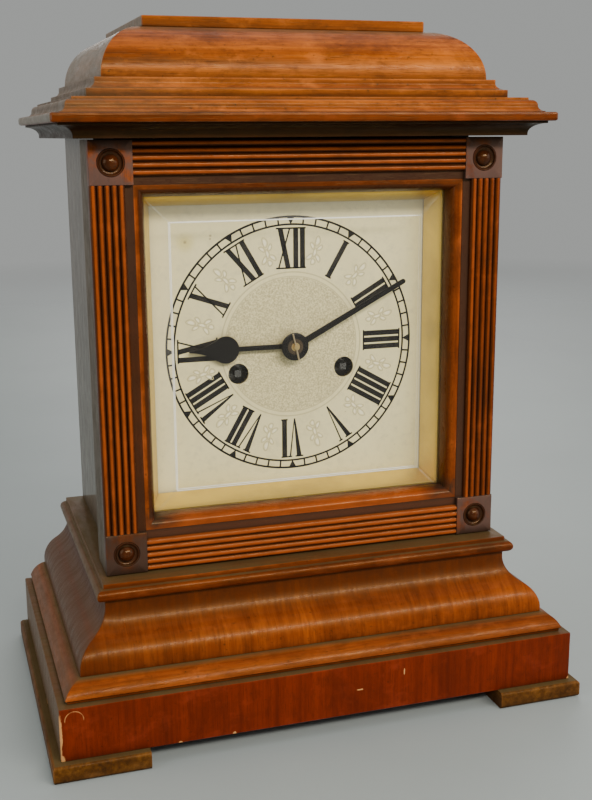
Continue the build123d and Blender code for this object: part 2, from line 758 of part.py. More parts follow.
def make_dome():
    """Three cushion strips with a quarter round face, under a flat slab."""
    outer = CASE_HALF + DOME_REACH
    inner = outer - DOME_HEIGHT - STRIP_DEPTH / 2
    curve = quarter((outer, Z_DOME), (outer - DOME_HEIGHT, Z_SLAB), 1)
    face = profile((inner, Z_DOME), curve, (inner, Z_SLAB))
    save("dome", *surround(face, CORNICE_CORNER), closing_rail(inner, Z_DOME, Z_SLAB))
    edge = CASE_HALF + SLAB_REACH
    save("top_slab", block(-edge, edge, CORNICE_CORNER - edge, BACK, Z_SLAB, Z_SLAB + SLAB_HEIGHT))


# Front door
def hinge_levels():
    """The lower end of each hinge."""
    low = Z_DIAL - DOOR_HALF_HEIGHT + HINGE_FROM_END
    return low, 2 * Z_DIAL - low - HINGE_LENGTH


HINGE_X = CASE_HALF + KNUCKLE_RADIUS
HINGE_Y = DOOR_BACK + DOOR_GAP / 2


def make_door_frame():
    """Two stiles and two rails, with a bed for each hinge leaf and knuckle in the right stile."""
    low = Z_DIAL - DOOR_HALF_HEIGHT
    high = Z_DIAL + DOOR_HALF_HEIGHT
    right = block(MEMBER_HALF, DOOR_HALF, FRAME_FRONT, DOOR_BACK, low, high)
    left = mirror(right, about=Plane.YZ)
    for level in hinge_levels():
        end = level + HINGE_LENGTH
        right -= post(KNUCKLE_RADIUS + CLEARANCE, level - CLEARANCE, end + CLEARANCE, HINGE_X, HINGE_Y)
        right -= block(CASE_HALF - LEAF_WIDTH, HINGE_X, DOOR_BACK - LEAF_THICKNESS, DOOR_BACK + 1, level, end)
    rails = []
    for z0, z1 in ((low, low + BLOCK_SIZE), (high - BLOCK_SIZE, high)):
        rails.append(block(-MEMBER_HALF, MEMBER_HALF, FRAME_FRONT, DOOR_BACK, z0, z1))
    save("door_frame", left, right, *rails)


def reed_face():
    """Section of a reeded strip: (distance in from the door's edge, y), reeds first, then a flat fillet."""
    groove = DOOR_FRONT + REED_HEIGHT
    pieces = [(0.0, FRAME_FRONT), (0.0, groove)]
    for reed in range(REED_COUNT):
        left = reed * REED_PITCH
        middle = (left + REED_PITCH / 2, DOOR_FRONT)
        pieces.append(ThreePointArc((left, groove), middle, (left + REED_PITCH, groove)))
    flat = DOOR_FRONT + FILLET_SINK
    pieces += [(REED_COUNT * REED_PITCH, flat), (BLOCK_SIZE, flat), (BLOCK_SIZE, FRAME_FRONT)]
    return profile(*pieces)


def make_reeded_strips():
    """Reeded strips on the stiles and rails, between the corner blocks."""
    face = reed_face()
    tall = DOOR_HALF_HEIGHT - BLOCK_SIZE
    wide = DOOR_HALF - BLOCK_SIZE
    upright = Plane(origin=(-DOOR_HALF, 0, Z_DIAL - tall), x_dir=(1, 0, 0), z_dir=(0, 0, 1)) * face
    left = extrude(upright, 2 * tall)
    lying = Plane(origin=(-wide, 0, Z_DIAL - DOOR_HALF_HEIGHT), x_dir=(0, 0, 1), z_dir=(-1, 0, 0)) * face
    bottom = extrude(lying, -2 * wide)
    top = mirror(bottom, about=Plane.XY.offset(Z_DIAL))
    save("reeded_strips", left, mirror(left, about=Plane.YZ), bottom, top)


def make_corner_blocks():
    """A square block with a turned boss at each corner of the door."""
    front = DOOR_FRONT - BLOCK_PROUD
    dish = front + BOSS_DISH
    hollow = quarter((BOSS_RADIUS - BOSS_RIM, front), (BUTTON_RADIUS, dish), 1)
    dome = crown(BUTTON_RADIUS, dish, dish - BUTTON_HEIGHT)
    sunk = front + BOSS_SINK
    turned = revolve(profile((0.0, sunk), (BOSS_RADIUS, sunk), (BOSS_RADIUS, front), hollow, dome), Axis.Y)
    blocks = []
    bosses = []
    for sx in (-1, 1):
        for sz in (-1, 1):
            x = sx * (DOOR_HALF - BLOCK_SIZE / 2)
            z = Z_DIAL + sz * (DOOR_HALF_HEIGHT - BLOCK_SIZE / 2)
            square = Pos(x, (front + FRAME_FRONT) / 2, z) * Box(BLOCK_SIZE, FRAME_FRONT - front, BLOCK_SIZE)
            blocks.append(square - rod(BOSS_RADIUS + BOSS_FIT, front - 1, sunk, x, z))
            bosses.append(Pos(x, 0, z) * turned)
    save("corner_blocks", *blocks)
    save("corner_bosses", *bosses)


def make_sight():
    """Sight moulding with a cove to the glass, the bevelled pane, and the gilt slip that holds it."""
    face_y = DOOR_FRONT + SIGHT_SINK
    lip = GLASS_FRONT - SIGHT_LIP
    cove = quarter((0.0, lip), (SIGHT_WIDTH - SIGHT_FACE, face_y), 1)
    face = profile((0.0, GLASS_FRONT), cove, (SIGHT_WIDTH, face_y), (SIGHT_WIDTH, GLASS_FRONT))
    save("sight_moulding", *window(face, SIGHT_HALF, SIGHT_HALF_HEIGHT))

    half = MEMBER_HALF - GLASS_GAP
    tall = MEMBER_HALF_HEIGHT - GLASS_GAP
    pane = block(-half, half, GLASS_FRONT, GLASS_BACK, Z_DIAL - tall, Z_DIAL + tall)
    half = SIGHT_HALF - GLASS_GAP
    tall = SIGHT_HALF_HEIGHT - GLASS_GAP
    rise = GLASS_THICKNESS - GLASS_EDGE
    raised = block(-half, half, GLASS_FRONT - rise, GLASS_FRONT, Z_DIAL - tall, Z_DIAL + tall)
    for side in (-1, 1):
        raised = keep_below(raised, (side * half, GLASS_FRONT, Z_DIAL), (side * rise, -GLASS_BEVEL, 0))
        raised = keep_below(raised, (0, GLASS_FRONT, Z_DIAL + side * tall), (0, -GLASS_BEVEL, side * rise))
    save("door_glass", pane + raised)

    outer = SIGHT_WIDTH - GLASS_GAP
    face = profile(
        (0.0, GLASS_BACK), (outer, GLASS_BACK), (outer, DOOR_BACK), (-SLIP_INNER_STEP, DOOR_BACK),
    )
    save("gilt_slip", *window_from(face, SIGHT_HALF, SIGHT_HALF_HEIGHT))


def window_from(face, half_width, half_height):
    """window() for a face that also reaches inwards past the opening's edge."""
    inwards = -face.bounding_box().min.X
    return window(Pos(inwards, 0) * face, half_width - inwards, half_height - inwards)


def make_hinges():
    """Two butt hinges. The case leaf has the outer knuckles and the pin, the door leaf the middle knuckle."""
    third = HINGE_LENGTH / 3
    case_leaves = []
    door_leaves = []
    for low in hinge_levels():
        high = low + HINGE_LENGTH
        leaf = block(CASE_HALF - LEAF_WIDTH, HINGE_X, CASE_FRONT, CASE_FRONT + LEAF_THICKNESS, low, high)
        leaf -= block(CASE_HALF, HINGE_X, CASE_FRONT - 1, CASE_FRONT + 2, low + third, high - third)
        leaf += post(KNUCKLE_RADIUS, low, low + third, HINGE_X, HINGE_Y)
        leaf += post(KNUCKLE_RADIUS, high - third, high, HINGE_X, HINGE_Y)
        leaf += post(PIN_RADIUS, low, high, HINGE_X, HINGE_Y)
        case_leaves.append(leaf)
        z0 = low + third + KNUCKLE_GAP
        z1 = high - third - KNUCKLE_GAP
        plate = block(CASE_HALF - LEAF_WIDTH, CASE_HALF, DOOR_BACK - LEAF_THICKNESS, DOOR_BACK, low, high)
        plate += block(CASE_HALF, HINGE_X, DOOR_BACK - LEAF_THICKNESS, DOOR_BACK, z0, z1)
        plate += post(KNUCKLE_RADIUS, z0, z1, HINGE_X, HINGE_Y)
        door_leaves.append(plate - post(PIN_RADIUS + RUNNING_FIT, z0 - 1, z1 + 1, HINGE_X, HINGE_Y))
    save("hinge_case_leaves", *case_leaves)
    save("hinge_door_leaves", *door_leaves)


# Dial, hands and motion work
def make_dial():
    """Square plate with a centre hole and two winding holes."""
    half = DIAL_SIZE / 2
    plate = block(-half, half, DIAL_FRONT, DIAL_BACK, Z_DIAL - half, Z_DIAL + half)
    plate -= rod(DIAL_CENTRE_HOLE, DIAL_FRONT - 1, DIAL_BACK + 1, *CENTRE)
    for x, z in (GOING, STRIKE):
        plate -= rod(WINDING_HOLE, DIAL_FRONT - 1, DIAL_BACK + 1, x, z)
    save("dial_plate", plate)


PIPE_INNER = CANNON_RADIUS + RUNNING_FIT
PIPE_RADIUS = PIPE_INNER + PIPE_WALL
HOUR_HAND_Y = DIAL_FRONT - HOUR_LIFT
MINUTE_HAND_Y = HOUR_HAND_Y - HAND_THICKNESS - MINUTE_LIFT
BOSS_FRONT = MINUTE_HAND_Y - BOSS_HEIGHT
PIN_Y = BOSS_FRONT - HAND_PIN_RADIUS - CLEARANCE / 2
ARBOR_FRONT = PIN_Y - 2 * HAND_PIN_RADIUS


def hand_turned(shape, angle):
    """A hand drawn pointing up at the dial's centre, turned clockwise as seen from the front."""
    return Pos(0, 0, Z_DIAL) * Rot(0, angle, 0) * shape


def make_minute_hand():
    """A straight tapered bar with a round end, and a domed boss on the cannon pinion."""
    y0 = MINUTE_HAND_Y - HAND_THICKNESS
    tip = MINUTE_LENGTH - MINUTE_TIP / 2
    side = [(MINUTE_ROOT / 2, 0.0), (MINUTE_TIP / 2, tip)]
    end = ThreePointArc(side[1], (0.0, MINUTE_LENGTH), (-side[1][0], tip))
    face = profile(side[0], end, (-side[0][0], 0.0))
    blade = Pos(0, MINUTE_HAND_Y, 0) * extrude(Plane.XZ * face, HAND_THICKNESS)
    boss = rod(MINUTE_BOSS, y0, MINUTE_HAND_Y)
    boss += revolve(profile((0.0, y0), crown(MINUTE_BOSS, y0, BOSS_FRONT)), Axis.Y)
    hand = blade + boss - rod(CANNON_RADIUS, BOSS_FRONT - 1, MINUTE_HAND_Y + 1)
    save("minute_hand", hand_turned(hand, MINUTE_ANGLE))


def make_hour_hand():
    """A thin stem, a round bulb, and hollow flanks that draw in to a narrow tip."""
    neck = HOUR_STEM / 2
    join = HOUR_BULB_AT - math.sqrt(HOUR_BULB**2 - neck**2)
    waist = (HOUR_BULB * 0.36, HOUR_BULB_AT + HOUR_BULB * 1.4)
    shoulder = (HOUR_BULB * 0.75, HOUR_BULB_AT + HOUR_BULB * 0.66)
    tip = (HOUR_TIP / 2, HOUR_LENGTH)
    bulb = ThreePointArc((neck, join), (HOUR_BULB, HOUR_BULB_AT), shoulder)
    flank = ThreePointArc(shoulder, waist, tip)
    half = profile((0.0, 0.0), (neck, 0.0), bulb, flank, (0.0, HOUR_LENGTH))
    face = half + mirror(half, about=Plane.YZ)
    blade = Pos(0, HOUR_HAND_Y, 0) * extrude(Plane.XZ * face, HAND_THICKNESS)
    hand = blade + rod(HOUR_BOSS, HOUR_HAND_Y - HAND_THICKNESS, HOUR_HAND_Y)
    hand -= rod(PIPE_RADIUS, HOUR_HAND_Y - HAND_THICKNESS - 1, HOUR_HAND_Y + 1)
    save("hour_hand", hand_turned(hand, HOUR_ANGLE))


def make_motion_work():
    """Cannon pinion, minute wheel and hour wheel between the plate and the dial, and the hand pin."""
    x, z = CENTRE
    cannon = pinion_at(CENTRE, MINUTE, CANNON_LEAVES, CANNON_MODULE, MINUTE_Y - WHEEL, MINUTE_Y)
    cannon += rod(CANNON_RADIUS, BOSS_FRONT, MINUTE_Y, x, z)
    cannon -= rod(CENTRE_FRONT_RADIUS, BOSS_FRONT - 1, MINUTE_Y + 1, x, z)
    save("cannon_pinion", cannon)

    hour = wheel_at(CENTRE, MINUTE, HOUR_TEETH, HOUR_MODULE, HOUR_Y - WHEEL, HOUR_Y)
    hour += rod(PIPE_RADIUS, HOUR_HAND_Y - HAND_THICKNESS, HOUR_Y, x, z)
    hour -= rod(PIPE_INNER, HOUR_HAND_Y - HAND_THICKNESS - 1, HOUR_Y + 1, x, z)
    save("hour_wheel", hour)

    mx, mz = MINUTE
    minute = wheel_at(MINUTE, CENTRE, MINUTE_TEETH, CANNON_MODULE, MINUTE_Y - WHEEL, MINUTE_Y)
    minute += pinion_at(MINUTE, CENTRE, MINUTE_LEAVES, HOUR_MODULE, HOUR_Y - WHEEL, MINUTE_Y - WHEEL)
    minute -= rod(CLICK_PIVOT_RADIUS + RUNNING_FIT, HOUR_Y - WHEEL - 1, MINUTE_Y + 1, mx, mz)
    save("minute_wheel", minute)

    half = HAND_PIN_LENGTH / 2
    pin = Pos(0, PIN_Y, Z_DIAL) * Rot(0, HAND_PIN_TURN, 0) * post(HAND_PIN_RADIUS, -half, half)
    save("hand_pin", pin)
    return pin


# Going train
def make_train(pin):
    """Centre, second, third and escape wheels, each with its arbor and pinion in one piece."""
    x, z = CENTRE
    centre = arbor(CENTRE)
    centre += rod(CENTRE_FRONT_RADIUS, ARBOR_FRONT, INNER_FRONT + END_SHAKE, x, z)
    centre += pinion_at(
        CENTRE, SECOND, CENTRE_LEAVES, SECOND_MODULE,
        SECOND_Y - PINION_OVERLAP, SECOND_Y + WHEEL + PINION_OVERLAP,
    )
    centre += wheel_at(CENTRE, THIRD, CENTRE_TEETH, CENTRE_MODULE, CENTRE_Y, CENTRE_Y + WHEEL)
    save("centre_wheel", centre - pin)

    second = arbor(SECOND)
    second += wheel_at(SECOND, CENTRE, SECOND_TEETH, SECOND_MODULE, SECOND_Y, SECOND_Y + WHEEL)
    second += pinion_at(
        SECOND, GOING, SECOND_LEAVES, GREAT_MODULE,
        GREAT_Y - PINION_OVERLAP, GREAT_Y + PLATE + PINION_OVERLAP,
    )
    save("second_wheel", second)

    third = arbor(THIRD, PIVOT_RADIUS)
    third += rod(WHEEL_HUB, THIRD_Y - WHEEL, THIRD_Y, *THIRD)
    third += wheel_at(THIRD, ESCAPE, THIRD_TEETH, THIRD_MODULE, THIRD_Y, THIRD_Y + WHEEL)
    third += pinion_at(
        THIRD, CENTRE, THIRD_LEAVES, CENTRE_MODULE,
        CENTRE_Y - PINION_OVERLAP, CENTRE_Y + WHEEL + PINION_OVERLAP,
    )
    save("third_wheel", third)

    escape = arbor(ESCAPE, PIVOT_RADIUS)
    escape += pinion_at(
        ESCAPE, THIRD, ESCAPE_LEAVES, THIRD_MODULE,
        THIRD_Y - PINION_OVERLAP, THIRD_Y + WHEEL + PINION_OVERLAP,
    )
    points = saw_teeth(ESCAPE_TEETH, ESCAPE_RADIUS, ESCAPE_TOOTH)
    escape += toothed(points, ESCAPE_Y, ESCAPE_Y + WHEEL, ESCAPE)
    save("escape_wheel", escape)


def saw_teeth(teeth, radius, depth):
    """Outline of a ratchet or escape wheel: one steep and one sloping side to each tooth."""
    points = []
    for tooth in range(teeth):
        angle = 360 / teeth * tooth
        points.append(polar(radius, angle))
        points.append(polar(radius - depth, angle + 360 / teeth * 0.12))
    return points


def make_barrels():
    """Two toothed spring barrels with their springs, winding arbors and clicks."""
    drum_front = GREAT_Y + PLATE
    drum_back = drum_front + DRUM_HEIGHT
    inner_front = drum_front + DRUM_WALL
    inner_back = drum_back - DRUM_WALL
    for centre, side, name in CLICKS:
        x, z = centre
        mate = SECOND if side > 0 else PIN_WHEEL
        barrel = wheel_at(centre, mate, GREAT_TEETH, GREAT_MODULE, GREAT_Y, drum_front)
        barrel += rod(DRUM_RADIUS, drum_front, drum_back, x, z)
        barrel -= rod(DRUM_RADIUS - DRUM_WALL, inner_front, inner_back, x, z)
        barrel -= rod(WINDING_RADIUS + RUNNING_FIT, GREAT_Y - 1, drum_back + 1, x, z)
        save(f"{name}_barrel", barrel)

        save(f"{name}_mainspring", mainspring(centre, inner_front + END_SHAKE, inner_back - END_SHAKE))

        winding = rod(WINDING_RADIUS, RATCHET_Y - WHEEL, INNER_BACK - END_SHAKE, x, z)
        winding += rod(WINDING_REAR_PIVOT, INNER_BACK - END_SHAKE, PLATE_BACK, x, z)
        winding += rod(WINDING_CORE, inner_front + CLEARANCE, inner_back - CLEARANCE, x, z)
        half = WINDING_SQUARE / 2
        winding += block(x - half, x + half, DIAL_FRONT + WINDING_SINK, RATCHET_Y - WHEEL, z - half, z + half)
        points = saw_teeth(CLICK_WHEEL_TEETH, CLICK_WHEEL_RADIUS, CLICK_WHEEL_DEPTH)
        winding += toothed(points, RATCHET_Y - WHEEL, RATCHET_Y, centre)
        save(f"{name}_winding_arbor", winding)

        pivot = click_pivot(centre, side)
        nose = click_nose(centre, side)
        click = rod(CLICK_BOSS, RATCHET_Y - WHEEL, RATCHET_Y, *pivot)
        lean = polar(CLICK_WHEEL_RADIUS + CLEARANCE + CLICK_WHEEL_DEPTH, towards(centre, nose) + 6, centre)
        heel = polar(CLICK_BOSS * 0.9, towards(pivot, nose) - 60, pivot)
        toe = polar(CLICK_BOSS * 0.9, towards(pivot, nose) + 60, pivot)
        wing = polar(CLICK_WHEEL_RADIUS + CLICK_BOSS, towards(centre, nose) - 4, centre)
        click += slab_of([heel, lean, nose, wing, toe], RATCHET_Y - WHEEL, RATCHET_Y)
        click -= rod(CLICK_PIVOT_RADIUS + RUNNING_FIT, RATCHET_Y - WHEEL - 1, RATCHET_Y + 1, *pivot)
        save(f"{name}_click", click)


def half_turns(x, z, radii, start_side):
    """Half circles joined end to end along X, each on the radius given, as edges in the (x, z) plane."""
    arcs = []
    side = start_side
    for radius in radii:
        end = x - side * 2 * radius
        arcs.append(ThreePointArc((x, z), (x - side * radius, z + side * radius), (end, z)))
        x = end
        side = -side
    return arcs


def mainspring(centre, y0, y1):
    """A flat band wound in half turns, from the arbor's core out to the wall of the barrel."""
    outer = DRUM_RADIUS - DRUM_WALL - SPRING_BAND - CLEARANCE
    radii = [outer - SPRING_PITCH / 4 - SPRING_PITCH / 2 * turn for turn in range(2 * SPRING_TURNS)]
    arcs = half_turns(outer, 0.0, radii, 1)
    band = Wire([Plane.XZ * arc for arc in arcs])
    section = Plane(origin=band @ 0, x_dir=(1, 0, 0), z_dir=band % 0) * Rectangle(SPRING_BAND, y1 - y0)
    print("mainspring least gap", round(SPRING_PITCH - SPRING_BAND, 2))
    return Pos(centre[0], (y0 + y1) / 2, centre[1]) * sweep(section, path=band)


# Escapement and pendulum
def make_escapement():
    """Anchor with its arbor and crutch in one piece, clear of the escape wheel's teeth."""
    x, z = ANCHOR
    y0 = ESCAPE_Y
    y1 = ESCAPE_Y + WHEEL
    crutch_back = PENDULUM_Y - SPRING_WIDTH / 2 - CLEARANCE
    crutch_front = crutch_back - CRUTCH_WIDTH
    anchor = rod(PIVOT_RADIUS, PLATE_FRONT, crutch_back, x, z)
    anchor += rod(ANCHOR_HUB, y0, y1, x, z)
    reach = ESCAPE_RADIUS + PALLET_CLEARANCE + ANCHOR_WIDTH / 2
    for angle in (45, 135):
        anchor += bar(ANCHOR, polar(reach, angle, ESCAPE), ANCHOR_WIDTH, y0, y1)
    low = (x, z - CRUTCH_LENGTH)
    anchor += rod(ANCHOR_HUB, crutch_front, crutch_back, x, z)
    anchor += bar(ANCHOR, low, CRUTCH_WIDTH, crutch_front, crutch_back)
    slot = ROD_RADIUS + CLEARANCE
    half = CRUTCH_WIDTH / 2
    fork_back = PENDULUM_Y + SPRING_WIDTH / 2
    fork = block(-slot - half, slot + half, crutch_front, fork_back, low[1] - half, low[1] + half)
    fork -= block(-slot, slot, crutch_back, fork_back + 1, low[1] - half - 1, low[1] + half + 1)
    save("anchor", anchor + fork)


def make_pendulum():
    """Suspension spring on a round head, rod, lens-shaped bob and rating nut."""
    x, z = ANCHOR
    y0 = PENDULUM_Y - SPRING_WIDTH / 2
    y1 = PENDULUM_Y + SPRING_WIDTH / 2
    low = z - SPRING_LENGTH
    spring = rod(SPRING_HEAD_RADIUS, y0, y1, x, z)
    spring += block(-SPRING_STRIP / 2, SPRING_STRIP / 2, y0, y1, low, z)
    spring += block(-SPRING_BLOCK / 2, SPRING_BLOCK / 2, y0, y1, low - SPRING_BLOCK, low)
    save("suspension_spring", spring)

    bob_z = z - PENDULUM_LENGTH
    nut_top = bob_z - BOB_RADIUS - CLEARANCE
    rod_end = nut_top - NUT_HEIGHT - ROD_RADIUS
    save("pendulum_rod", post(ROD_RADIUS, rod_end, low - SPRING_BLOCK, 0, PENDULUM_Y))

    half = BOB_THICKNESS / 2
    rim = 0.6 * half
    cheek = revolve(profile((0.0, 0.0), (BOB_RADIUS, 0.0), crown(BOB_RADIUS, rim, half)), Axis.Y)
    bob = Pos(0, PENDULUM_Y, bob_z) * (cheek + mirror(cheek, about=Plane.XZ))
    hole = post(ROD_RADIUS + RUNNING_FIT, rod_end - 1, low, 0, PENDULUM_Y)
    save("pendulum_bob", bob - hole)
    save("rating_nut", post(NUT_RADIUS, nut_top - NUT_HEIGHT, nut_top, 0, PENDULUM_Y) - hole)


def make_cock():
    """Bracket on the back plate that the suspension spring hangs in."""
    z = ANCHOR[1]
    half = COCK_WIDTH / 2
    low = z + ANCHOR_HUB + CLEARANCE
    top = low + COCK_WIDTH * 0.7
    front = PENDULUM_Y - SPRING_WIDTH / 2
    back = PENDULUM_Y + SPRING_WIDTH / 2
    foot = block(-COCK_WIDTH, COCK_WIDTH, PLATE_BACK, PLATE_BACK + PLATE, low, top)
    arm = block(-half, half, PLATE_BACK + PLATE, back, low, top)
    jaws = block(-half, half, front, back, z - 2 * SPRING_HEAD_RADIUS, low)
    hole = rod(SPRING_HEAD_RADIUS + RUNNING_FIT, front - 1, back + 1, 0, z)
    slot = SPRING_HEAD_RADIUS * 0.9
    gap = block(-slot, slot, front - 1, back + 1, z - 4 * SPRING_HEAD_RADIUS, z)
    save("back_cock", foot + arm + jaws - hole - gap)


# Plates
def make_plates():
    """Two plates with a hole for every pivot, studs on the front one, and four pillars between them."""
    half = PLATE_WIDTH / 2
    low = Z_DIAL - PLATE_BELOW
    high = Z_DIAL + PLATE_ABOVE
    front = block(-half, half, PLATE_FRONT, INNER_FRONT, low, high)
    back = block(-half, half, INNER_BACK, PLATE_BACK, low, high)
    for x, z in (CENTRE, SECOND, THIRD, ESCAPE, ANCHOR, PIN_WHEEL, HAMMER):
        hole = rod(PIVOT_RADIUS + RUNNING_FIT, PLATE_FRONT - 1, PLATE_BACK + 1, x, z)
        front -= hole
        back -= hole
    front -= rod(CENTRE_FRONT_RADIUS + RUNNING_FIT, PLATE_FRONT - 1, INNER_FRONT + 1, *CENTRE)
    back -= rod(ARBOR_RADIUS + RUNNING_FIT, INNER_BACK - 1, PLATE_BACK + 1, *HAMMER)
    for x, z in (GOING, STRIKE):
        front -= rod(WINDING_RADIUS + RUNNING_FIT, PLATE_FRONT - 1, INNER_FRONT + 1, x, z)
        back -= rod(WINDING_REAR_PIVOT + RUNNING_FIT, INNER_BACK - 1, PLATE_BACK + 1, x, z)
    front += rod(CLICK_PIVOT_RADIUS, HOUR_Y - WHEEL, PLATE_FRONT, *MINUTE)
    for centre, side, _ in CLICKS:
        front += rod(CLICK_PIVOT_RADIUS, RATCHET_Y - WHEEL, PLATE_FRONT, *click_pivot(centre, side))
    save("front_plate", front)
    save("back_plate", back)
    pillars = []
    for x in (-half + PILLAR_INSET, half - PILLAR_INSET):
        for z in (low + PILLAR_INSET, high - PILLAR_INSET):
            pillars.append(rod(PILLAR_RADIUS, INNER_FRONT, INNER_BACK, x, z))
    save("plate_pillars", *pillars)


# Strike, hammer and gong
def gong_radii():
    """Radius of each half turn of the gong, the small first bend included."""
    growth = GONG_PITCH / 2
    return [GONG_FIRST_RADIUS] + [GONG_SECOND_RADIUS + growth * turn for turn in range(GONG_HALF_TURNS)]


def make_gong():
    """A flat coil of round wire on an iron stand, with its inner end let into the stand's head."""
    half = GONG_BOSS / 2
    start = -half - GONG_LEAD
    arcs = half_turns(0.0, start, gong_radii(), -1)
    lead = Line((0.0, -half), (0.0, start))
    path = Wire([Plane.XZ * edge for edge in [lead] + arcs])
    section = Plane(origin=path @ 0, z_dir=-(path % 0)) * Circle(GONG_WIRE / 2)
    coil = sweep(section, path=path)
    print("gong least gap", round(GONG_PITCH - GONG_WIRE, 2))
    print("gong volume", round(coil.volume), "section x length", round(section.area * path.length))
    save("gong_coil", Pos(GONG_X, GONG_Y, GONG_HEIGHT) * coil)

    foot_y = STAND_SHARE * GONG_ROOM
    back = GONG_Y + foot_y
    low = GONG_HEIGHT - half
    high = GONG_HEIGHT + half
    stand = block(GONG_X - half, GONG_X + half, GONG_Y - GONG_WIRE, back, low, high)
    side = STAND_POST / 2
    deep = POST_SHARE * GONG_ROOM / 2
    stand += block(GONG_X - side, GONG_X + side, back - deep, back + deep, Z_CASE, high)
    foot_x = STAND_FOOT_WIDTH / 2
    top = Z_CASE + STAND_FOOT_HEIGHT
    stand += block(GONG_X - foot_x, GONG_X + foot_x, back - foot_y, back + foot_y, Z_CASE, top)
    save("gong_stand", stand)


def gong_left():
    """The leftmost reach of the coil."""
    x = GONG_X
    side = -1
    least = x
    for radius in gong_radii():
        x -= side * 2 * radius
        side = -side
        least = min(least, x)
    return least - GONG_WIRE / 2


def make_strike():
    """Pin wheel driven by the strike barrel, and the hammer that its pins lift."""
    x, z = PIN_WHEEL
    wheel = arbor(PIN_WHEEL)
    wheel += rod(PIN_WHEEL_RADIUS, PIN_WHEEL_Y, PIN_WHEEL_Y + WHEEL, x, z)
    for turn in range(LIFT_PINS):
        spot = polar(PIN_WHEEL_RADIUS - LIFT_PIN_INSET, 360 / LIFT_PINS * turn, PIN_WHEEL)
        wheel += rod(LIFT_PIN_RADIUS, PIN_WHEEL_Y + WHEEL, PIN_WHEEL_Y + WHEEL + LIFT_PIN_LENGTH, *spot)
    wheel += pinion_at(
        PIN_WHEEL, STRIKE, SECOND_LEAVES, GREAT_MODULE,
        GREAT_Y - PINION_OVERLAP, GREAT_Y + PLATE + PINION_OVERLAP,
    )
    save("strike_pin_wheel", wheel)

    hx, hz = HAMMER
    head_z = GONG_HEIGHT - GONG_BOSS / 2 - GONG_LEAD
    hammer = rod(ARBOR_RADIUS, INNER_FRONT + END_SHAKE, GONG_Y + HAMMER_ARM / 2, hx, hz)
    hammer += rod(PIVOT_RADIUS, PLATE_FRONT, INNER_FRONT + END_SHAKE, hx, hz)
    face = gong_left() - HAMMER_GAP
    head = Pos(face - HAMMER_HEAD_LENGTH / 2, GONG_Y, head_z) * Rot(0, 90, 0) * Cylinder(
        HAMMER_HEAD_RADIUS, HAMMER_HEAD_LENGTH
    )
    centre = (face - HAMMER_HEAD_LENGTH / 2, head_z)
    hammer += bar(HAMMER, centre, HAMMER_ARM, GONG_Y - HAMMER_ARM / 2, GONG_Y + HAMMER_ARM / 2)
    hammer += head
    pin_reach = PIN_WHEEL_RADIUS - LIFT_PIN_INSET + LIFT_PIN_RADIUS
    reach = math.dist(HAMMER, PIN_WHEEL) - pin_reach - 2 * CLEARANCE
    tail = polar(reach, towards(HAMMER, PIN_WHEEL), HAMMER)
    lift = PIN_WHEEL_Y + WHEEL + CLEARANCE
    hammer += bar(HAMMER, tail, HAMMER_TAIL, lift, lift + WHEEL)
    save("hammer", hammer)


def main():
    os.makedirs("parts", exist_ok=True)
    make_feet()
    make_plinth()
    make_ovolo()
    make_ogee()
    make_cap()
    make_sides()
    make_back()
    make_inner_boards()
    make_cornice()
    make_dome()
    make_door_frame()
    make_reeded_strips()
    make_corner_blocks()
    make_sight()
    make_hinges()
    make_dial()
    make_minute_hand()
    make_hour_hand()
    pin = make_motion_work()
    make_train(pin)
    make_barrels()
    make_escapement()
    make_pendulum()
    make_cock()
    make_plates()
    make_gong()
    make_strike()


if __name__ == "__main__":
    main()
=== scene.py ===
"""Upright mantel clock with a reeded door: finishes, fine pieces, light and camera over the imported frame."""

import json
import math

import bmesh
import bpy
import numpy as np
from mathutils import Matrix, Vector


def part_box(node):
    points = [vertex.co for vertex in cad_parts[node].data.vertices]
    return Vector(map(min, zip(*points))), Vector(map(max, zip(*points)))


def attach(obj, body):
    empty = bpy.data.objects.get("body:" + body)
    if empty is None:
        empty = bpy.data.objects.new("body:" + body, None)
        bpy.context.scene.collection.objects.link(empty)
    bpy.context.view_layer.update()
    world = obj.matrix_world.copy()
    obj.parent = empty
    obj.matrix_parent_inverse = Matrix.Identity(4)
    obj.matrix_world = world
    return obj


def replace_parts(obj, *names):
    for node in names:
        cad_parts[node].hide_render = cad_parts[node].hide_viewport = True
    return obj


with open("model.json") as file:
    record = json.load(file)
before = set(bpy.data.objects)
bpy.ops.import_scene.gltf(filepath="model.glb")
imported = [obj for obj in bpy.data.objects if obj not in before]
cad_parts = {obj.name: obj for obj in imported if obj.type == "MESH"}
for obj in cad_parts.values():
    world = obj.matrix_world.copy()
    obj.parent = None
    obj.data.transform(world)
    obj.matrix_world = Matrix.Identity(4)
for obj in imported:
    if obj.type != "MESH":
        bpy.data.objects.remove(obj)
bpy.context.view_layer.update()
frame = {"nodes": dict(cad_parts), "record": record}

bl_info = {
    "name": "Mantel Clock Finish",
    "version": (1, 0, 0),
    "blender": (4, 5, 0),
    "location": "View3D > Sidebar > Clock",
    "description": "Finishes and fine pieces of an upright mantel clock with a reeded door",
    "category": "Object",
}

MM = 0.001

# Places read from the frame, in millimetres
LOW = {}
HIGH = {}
for node_name in frame["nodes"]:
    low_corner, high_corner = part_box(node_name)
    LOW[node_name] = np.array(low_corner) / MM
    HIGH[node_name] = np.array(high_corner) / MM

